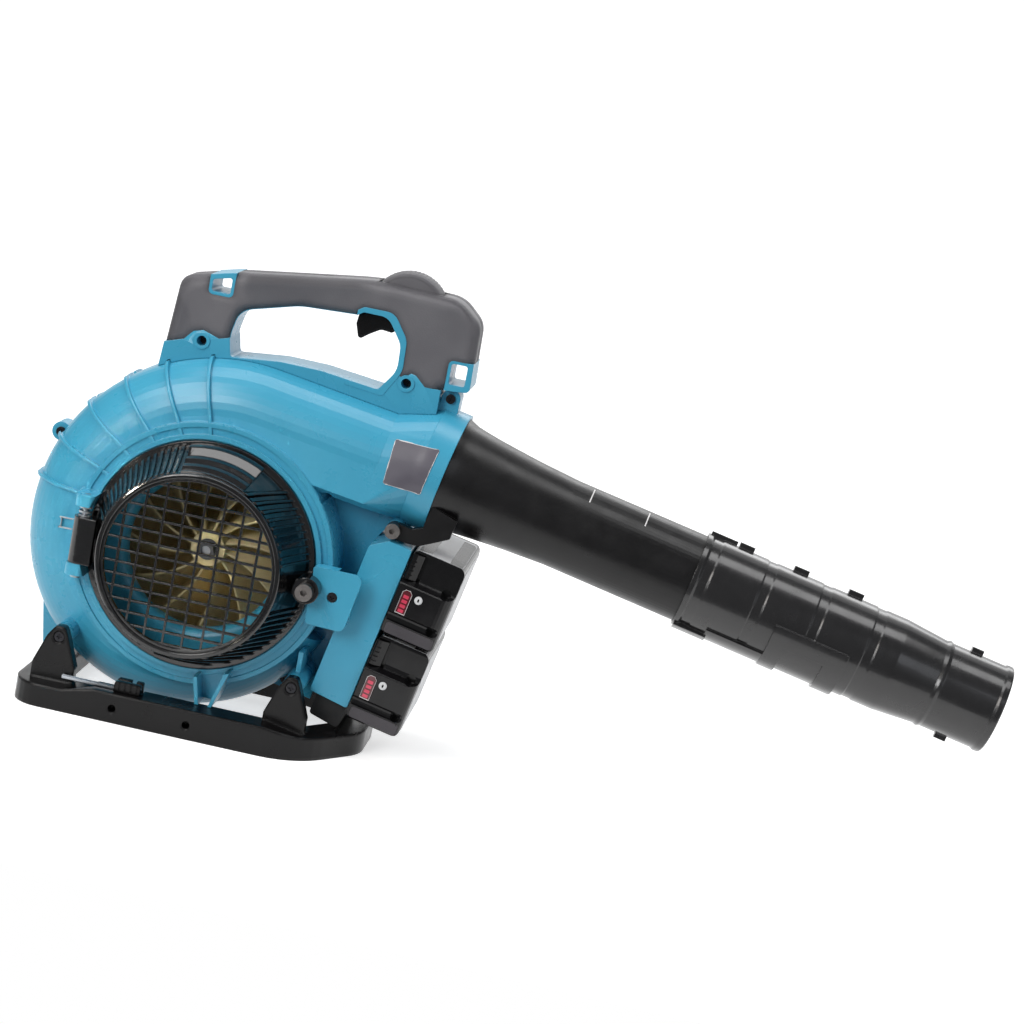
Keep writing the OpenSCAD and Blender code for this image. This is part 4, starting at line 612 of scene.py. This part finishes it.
hub.matrix_world = machineFrame
finishPiece(hub, "fan", "fan_plastic", materials["fan_plastic"])
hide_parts("impeller")
print("stage: impeller placed")

# Moulded pieces with long curves: the CAD mesh again, merged, with its shading smooth over the curves
softened = {
    "nodes": ["battery_housing", "handle_front", "handle_rear", "grip_front", "grip_rear", "rear_tube",
              "motor_cover", "speed_lever"],
    "angle": 14, "mergeMm": 0.002,
}
bodies = frame["record"]["behaviour"]["bodies"]
carrier = {name: body for body, names in bodies.items() for name in names}
for part in frame["record"]["subparts"]:
    if part["node"] not in softened["nodes"]:
        continue
    soft = bpy.data.objects.new(part["node"] + "Moulding", nodes[part["node"]].data.copy())
    bpy.context.scene.collection.objects.link(soft)
    pickOnly(soft)
    editAll()
    mergeTouching(softened["mergeMm"])
    bpy.ops.object.mode_set(mode="OBJECT")
    bpy.ops.object.shade_smooth_by_angle(angle=math.radians(softened["angle"]))
    addModifier(soft, "WEIGHTED_NORMAL", mode="FACE_AREA_WITH_ANGLE", keep_sharp=True)
    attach(soft, carrier[part["node"]])
    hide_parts(part["node"])
print("stage: mouldings smoothed")

# Rating plate: left bare, its lower edge narrower where the duct turns into the collar
ratingPlate = {
    "place": placed((157, -90, 253.5), facingIntake, groundFrame), "onto": "front_shell", "thick": 0.5,
    "outline": [(-18, 20), (21, 19), (12, -21.5), (-21, -18)], "corner": 2.4, "border": 0.5,
    "cell": 1.5, "smooth": 30, "lift": 0.3,
}
finishPiece(layLabel("ratingPlate", ratingPlate), "housing", "black_plastic", foil, ink)

# Pack labels: on the outer face, and on the face that is up when the machine stands
packLabel = {
    "outerFace": 207.5, "outerClear": 2, "outerHalf": (47, 33), "topMiddle": 184, "topFace": 37.5,
    "topClear": 1.5, "topHalf": (20, 49), "middleY": 3, "thick": 0.2, "cell": 20, "corner": 3,
}
for which, up in machine["packs"].items():
    outerSpot = (packLabel["outerFace"] + packLabel["outerClear"], packLabel["middleY"], up)
    topUp = up + packLabel["topFace"] + packLabel["topClear"]
    topSpot = (packLabel["topMiddle"], packLabel["middleY"], topUp)
    faces = {"Outer": (placed(outerSpot, facingOutlet), packLabel["outerHalf"]),
             "Top": (placed(topSpot, (0, 0, 0)), packLabel["topHalf"])}
    for face, (place, half) in faces.items():
        label = layLabel(which + "Pack" + face + "Label", {
            "place": place, "onto": which + "_pack", "thick": packLabel["thick"],
            "cell": packLabel["cell"], "corner": packLabel["corner"], "outline": rectangle(*half)})
        finishPiece(label, which + "_pack_body", "button_white", film)

# Foot of each pack's front: a raised band with a dull grain, dark grey
packFoot = {"along": 184, "frontY": -56, "clear": 2, "up": -30.6, "half": (21, 4.9), "thick": 0.3,
            "corner": 2.4}
for which, up in machine["packs"].items():
    foot = layLabel(which + "PackFoot", {
        "place": fromIntake(packFoot, up + packFoot["up"]), "onto": which + "_pack",
        "thick": packFoot["thick"], "corner": packFoot["corner"],
        "outline": rectangle(*packFoot["half"])})
    finishPiece(foot, which + "_pack_body", "pack_plastic", dullGrey)

# Dark oval mark on each check button
checkMark = {"along": 180.5, "frontY": -58, "clear": 2, "up": 0.8, "half": (0.75, 1.5), "sides": 14,
             "thick": 0.12, "cell": 10}
for which, up in machine["packs"].items():
    wide, high = checkMark["half"]
    turns = [-math.tau * k / checkMark["sides"] for k in range(checkMark["sides"])]
    mark = layLabel(which + "CheckMark", {
        "place": fromIntake(checkMark, up + checkMark["up"]), "onto": which + "_check_button",
        "thick": checkMark["thick"], "cell": checkMark["cell"],
        "outline": [(wide * math.cos(a), high * math.sin(a)) for a in turns]})
    finishPiece(mark, which + "_check_body", "pack_plastic", materials["pack_plastic"])

# Charge gauge: four lamps in a row behind the window, their glow painted into their colour, and a fine
# printed line round it
gauge = {
    "along": 170, "frontY": -57.2, "clear": 1, "bars": (-13.0, -8.8, -4.6, -0.4), "halfBar": (2.3, 1.4),
    "barThick": 0.25, "barCorner": 0.5, "barCell": 10, "line": 0.35, "lineThick": 0.15, "lineCell": 30,
    "window": [(-4.3, 3), (-2, 5.5), (2, 5.5), (4.3, 3), (4.3, -15.5), (-4.3, -15.5)],
}
for which, up in machine["packs"].items():
    for number, bar in enumerate(gauge["bars"]):
        lamp = layLabel("%sGaugeLamp%d" % (which, number + 1), {
            "place": fromIntake(gauge, up + bar), "onto": which + "_gauge", "thick": gauge["barThick"],
            "cell": gauge["barCell"], "corner": gauge["barCorner"],
            "outline": rectangle(*gauge["halfBar"])})
        finishPiece(lamp, which + "_pack_body", "gauge_red", paintedGlowRed)
    line = layLabel(which + "GaugeLine", {
        "place": fromIntake(gauge, up), "onto": which + "_gauge", "thick": gauge["lineThick"],
        "cell": gauge["lineCell"], "border": gauge["line"], "outline": gauge["window"]})
    pickOnly(line)
    bpy.ops.object.mode_set(mode="EDIT")
    ring = bmesh.from_edit_mesh(line.data)
    for face in ring.faces:
        face.select = face.material_index == 0
    bpy.ops.mesh.delete(type="FACE")
    bpy.ops.object.mode_set(mode="OBJECT")
    finishPiece(line, which + "_pack_body", "button_white", ink)

# Length marks across the top of the rear tube
lengthMark = {"along": (277.5, 327), "around": (52, 84), "wide": 1.0, "clear": 4, "thick": 0.1,
              "cell": 2.5}
for number, along in enumerate(lengthMark["along"]):
    low, high = (math.radians(a) for a in lengthMark["around"])
    middle = (low + high) / 2
    half = machine["tubeRadius"] * math.sin((high - low) / 2)
    away = machine["tubeRadius"] + lengthMark["clear"]
    spot = (along, -away * math.cos(middle), machine["tubeUp"] + away * math.sin(middle))
    mark = layLabel("lengthMark%d" % (number + 1), {
        "place": placed(spot, (90 - math.degrees(middle), 0, 0)), "onto": "rear_tube",
        "thick": lengthMark["thick"], "cell": lengthMark["cell"],
        "outline": rectangle(lengthMark["wide"] / 2, half)})
    finishPiece(mark, "housing", "button_white", ink)

# Free leg of the hinge's torsion spring: a bent loop of spring wire that lies against the housing
springLeg = {
    "centre": (-118, -52.9, 146.6), "lean": 3.5, "reach": 7.5, "outIn": 13, "halfWide": 4.3, "bend": 2.0,
    "wire": 0.75, "sides": 10, "bendSteps": 5,
}
reach, outIn, half, bend = (springLeg[k] / 1000 for k in ("reach", "outIn", "halfWide", "bend"))


def bendWire(centre):
    bpy.ops.mesh.spin(steps=springLeg["bendSteps"], angle=math.radians(90), center=centre, axis=(0, 0, 1))


pickOnly(None)
bpy.ops.mesh.primitive_circle_add(vertices=springLeg["sides"], radius=springLeg["wire"] / 1000,
                                  rotation=(0, math.radians(90), 0), location=(outIn, half, 0))
leg = bpy.context.object
leg.name = "springLeg"
applyPlace()
editAll()
extrudeBy((-reach - outIn + bend, 0, 0))
bendWire((-reach + bend, half - bend, 0))
extrudeBy((0, -2 * (half - bend), 0))
bendWire((-reach + bend, bend - half, 0))
extrudeBy((reach + outIn - bend, 0, 0))
mergeTouching(modelling["mergeMm"])
bpy.ops.mesh.fill_holes(sides=0)
bpy.ops.mesh.normals_make_consistent(inside=False)
bpy.ops.object.mode_set(mode="OBJECT")
leg.matrix_world = placed(springLeg["centre"], (90, 0, springLeg["lean"]), groundFrame)
finishPiece(leg, "housing", "steel", materials["steel"])
print("stage: small pieces placed")

# White paper sweep: a floor that curves up into a wall. Only the camera and reflections see its glow,
# so that it looks white and its shadows stay pale, and it lights nothing.
stage = {
    "floorHex": "#e4e4e4", "roughness": 0.9, "shine": 0.1, "glowHex": "#ffffff", "floorGlow": 0.62,
    "wide": 6.0, "frontY": -0.45, "backY": 3.0, "high": 6.0, "curve": 1.6, "curveSteps": 12,
    "skyHex": "#ffffff", "sky": 1.0, "ambientHex": "#eef1f4", "ambient": 0.28,
}
floorDeep = stage["backY"] - stage["frontY"]
pickOnly(None)
bpy.ops.mesh.primitive_plane_add(size=floorDeep, location=(0, (stage["backY"] + stage["frontY"]) / 2, 0))
floor = bpy.context.object
floor.name = "floor"
floor.scale.x = stage["wide"] / floorDeep
bpy.ops.object.transform_apply(location=False, rotation=False, scale=True)
bpy.ops.object.mode_set(mode="EDIT")
bpy.ops.mesh.select_all(action="DESELECT")
form = bmesh.from_edit_mesh(floor.data)
for edge in form.edges:
    edge.select = all(v.co.y > 0 for v in edge.verts)
bmesh.update_edit_mesh(floor.data)
extrudeBy((0, 0, stage["high"]))
bpy.ops.object.mode_set(mode="OBJECT")
addModifier(floor, "BEVEL", width=stage["curve"], segments=stage["curveSteps"])
applyPlace()
bpy.ops.object.shade_smooth()
paper, tree, shader = newMaterial("paperSweep", {
    "Base Color": srgb(stage["floorHex"]), "Roughness": stage["roughness"],
    "Specular IOR Level": stage["shine"],
})
path = addNode(tree, "ShaderNodeLightPath")
seen = addNode(tree, "ShaderNodeMath", links={
    0: path.outputs["Is Camera Ray"], 1: path.outputs["Is Glossy Ray"]}, operation="MAXIMUM")
glow = addNode(tree, "ShaderNodeEmission", {
    "Color": srgb(stage["glowHex"]), "Strength": stage["floorGlow"]})
both = addNode(tree, "ShaderNodeAddShader", links={0: shader.outputs[0], 1: glow.outputs[0]})
pick = addNode(tree, "ShaderNodeMixShader", links={
    0: seen.outputs[0], 1: shader.outputs[0], 2: both.outputs[0]})
tree.links.new(pick.outputs[0], tree.nodes["Material Output"].inputs["Surface"])
floor.data.materials.append(paper)

# The camera sees a white sky, and the object is lit by a dimmer one
world = bpy.data.worlds.new("studio")
bpy.context.scene.world = world
world.use_nodes = True
tree = world.node_tree
ambient = tree.nodes["Background"]
ambient.inputs["Color"].default_value = srgb(stage["ambientHex"])
ambient.inputs["Strength"].default_value = stage["ambient"]
white = addNode(tree, "ShaderNodeBackground", {"Color": srgb(stage["skyHex"]), "Strength": stage["sky"]})
path = addNode(tree, "ShaderNodeLightPath")
pick = addNode(tree, "ShaderNodeMixShader", links={
    0: path.outputs["Is Camera Ray"], 1: ambient.outputs[0], 2: white.outputs[0]})
tree.links.new(pick.outputs[0], tree.nodes["World Output"].inputs["Surface"])

# Soft boxes, and one narrow beam through the intake onto the fan
lamps = {
    "keyLamp": {"at": (-1.3, -1.6, 1.9), "aim": (0, 0, 0.2), "size": (1.2, 1.0), "power": 26,
                "hex": "#fffaf4"},
    "frontLamp": {"at": (-0.9, -2.3, 1.2), "aim": (0, 0, 0.15), "size": (0.8, 0.8), "power": 22,
                  "hex": "#ffffff"},
    "fillLamp": {"at": (1.9, -1.7, 1.0), "aim": (0.2, 0, 0.15), "size": (1.2, 1.4), "power": 7,
                 "hex": "#f4f8ff"},
    "topLamp": {"at": (0.3, -0.15, 2.0), "aim": (0.3, -0.1, 0.1), "size": (2.4, 0.7), "power": 21,
                "hex": "#ffffff"},
    "rimLamp": {"at": (0.4, 1.8, 1.3), "aim": (0.2, 0, 0.2), "size": (1.8, 0.6), "power": 10,
                "hex": "#ffffff"},
    "fanLamp": {"at": (-0.8, -1.15, 0.36), "aim": (0.02, 0, 0.14), "size": (0.1, 0.1), "power": 0.05,
                "hex": "#fff6e6", "spread": 9},
}
for name, lamp in lamps.items():
    data = bpy.data.lights.new(name, "AREA")
    data.shape = "RECTANGLE"
    data.size, data.size_y = lamp["size"]
    data.energy = lamp["power"]
    data.color = srgb(lamp["hex"])[:3]
    if "spread" in lamp:
        data.spread = math.radians(lamp["spread"])
    holder = bpy.data.objects.new(name, data)
    holder.location = lamp["at"]
    aim = Vector(lamp["aim"]) - Vector(lamp["at"])
    holder.rotation_euler = aim.to_track_quat("-Z", "Y").to_euler()
    bpy.context.scene.collection.objects.link(holder)
print("stage: floor and lamps placed")
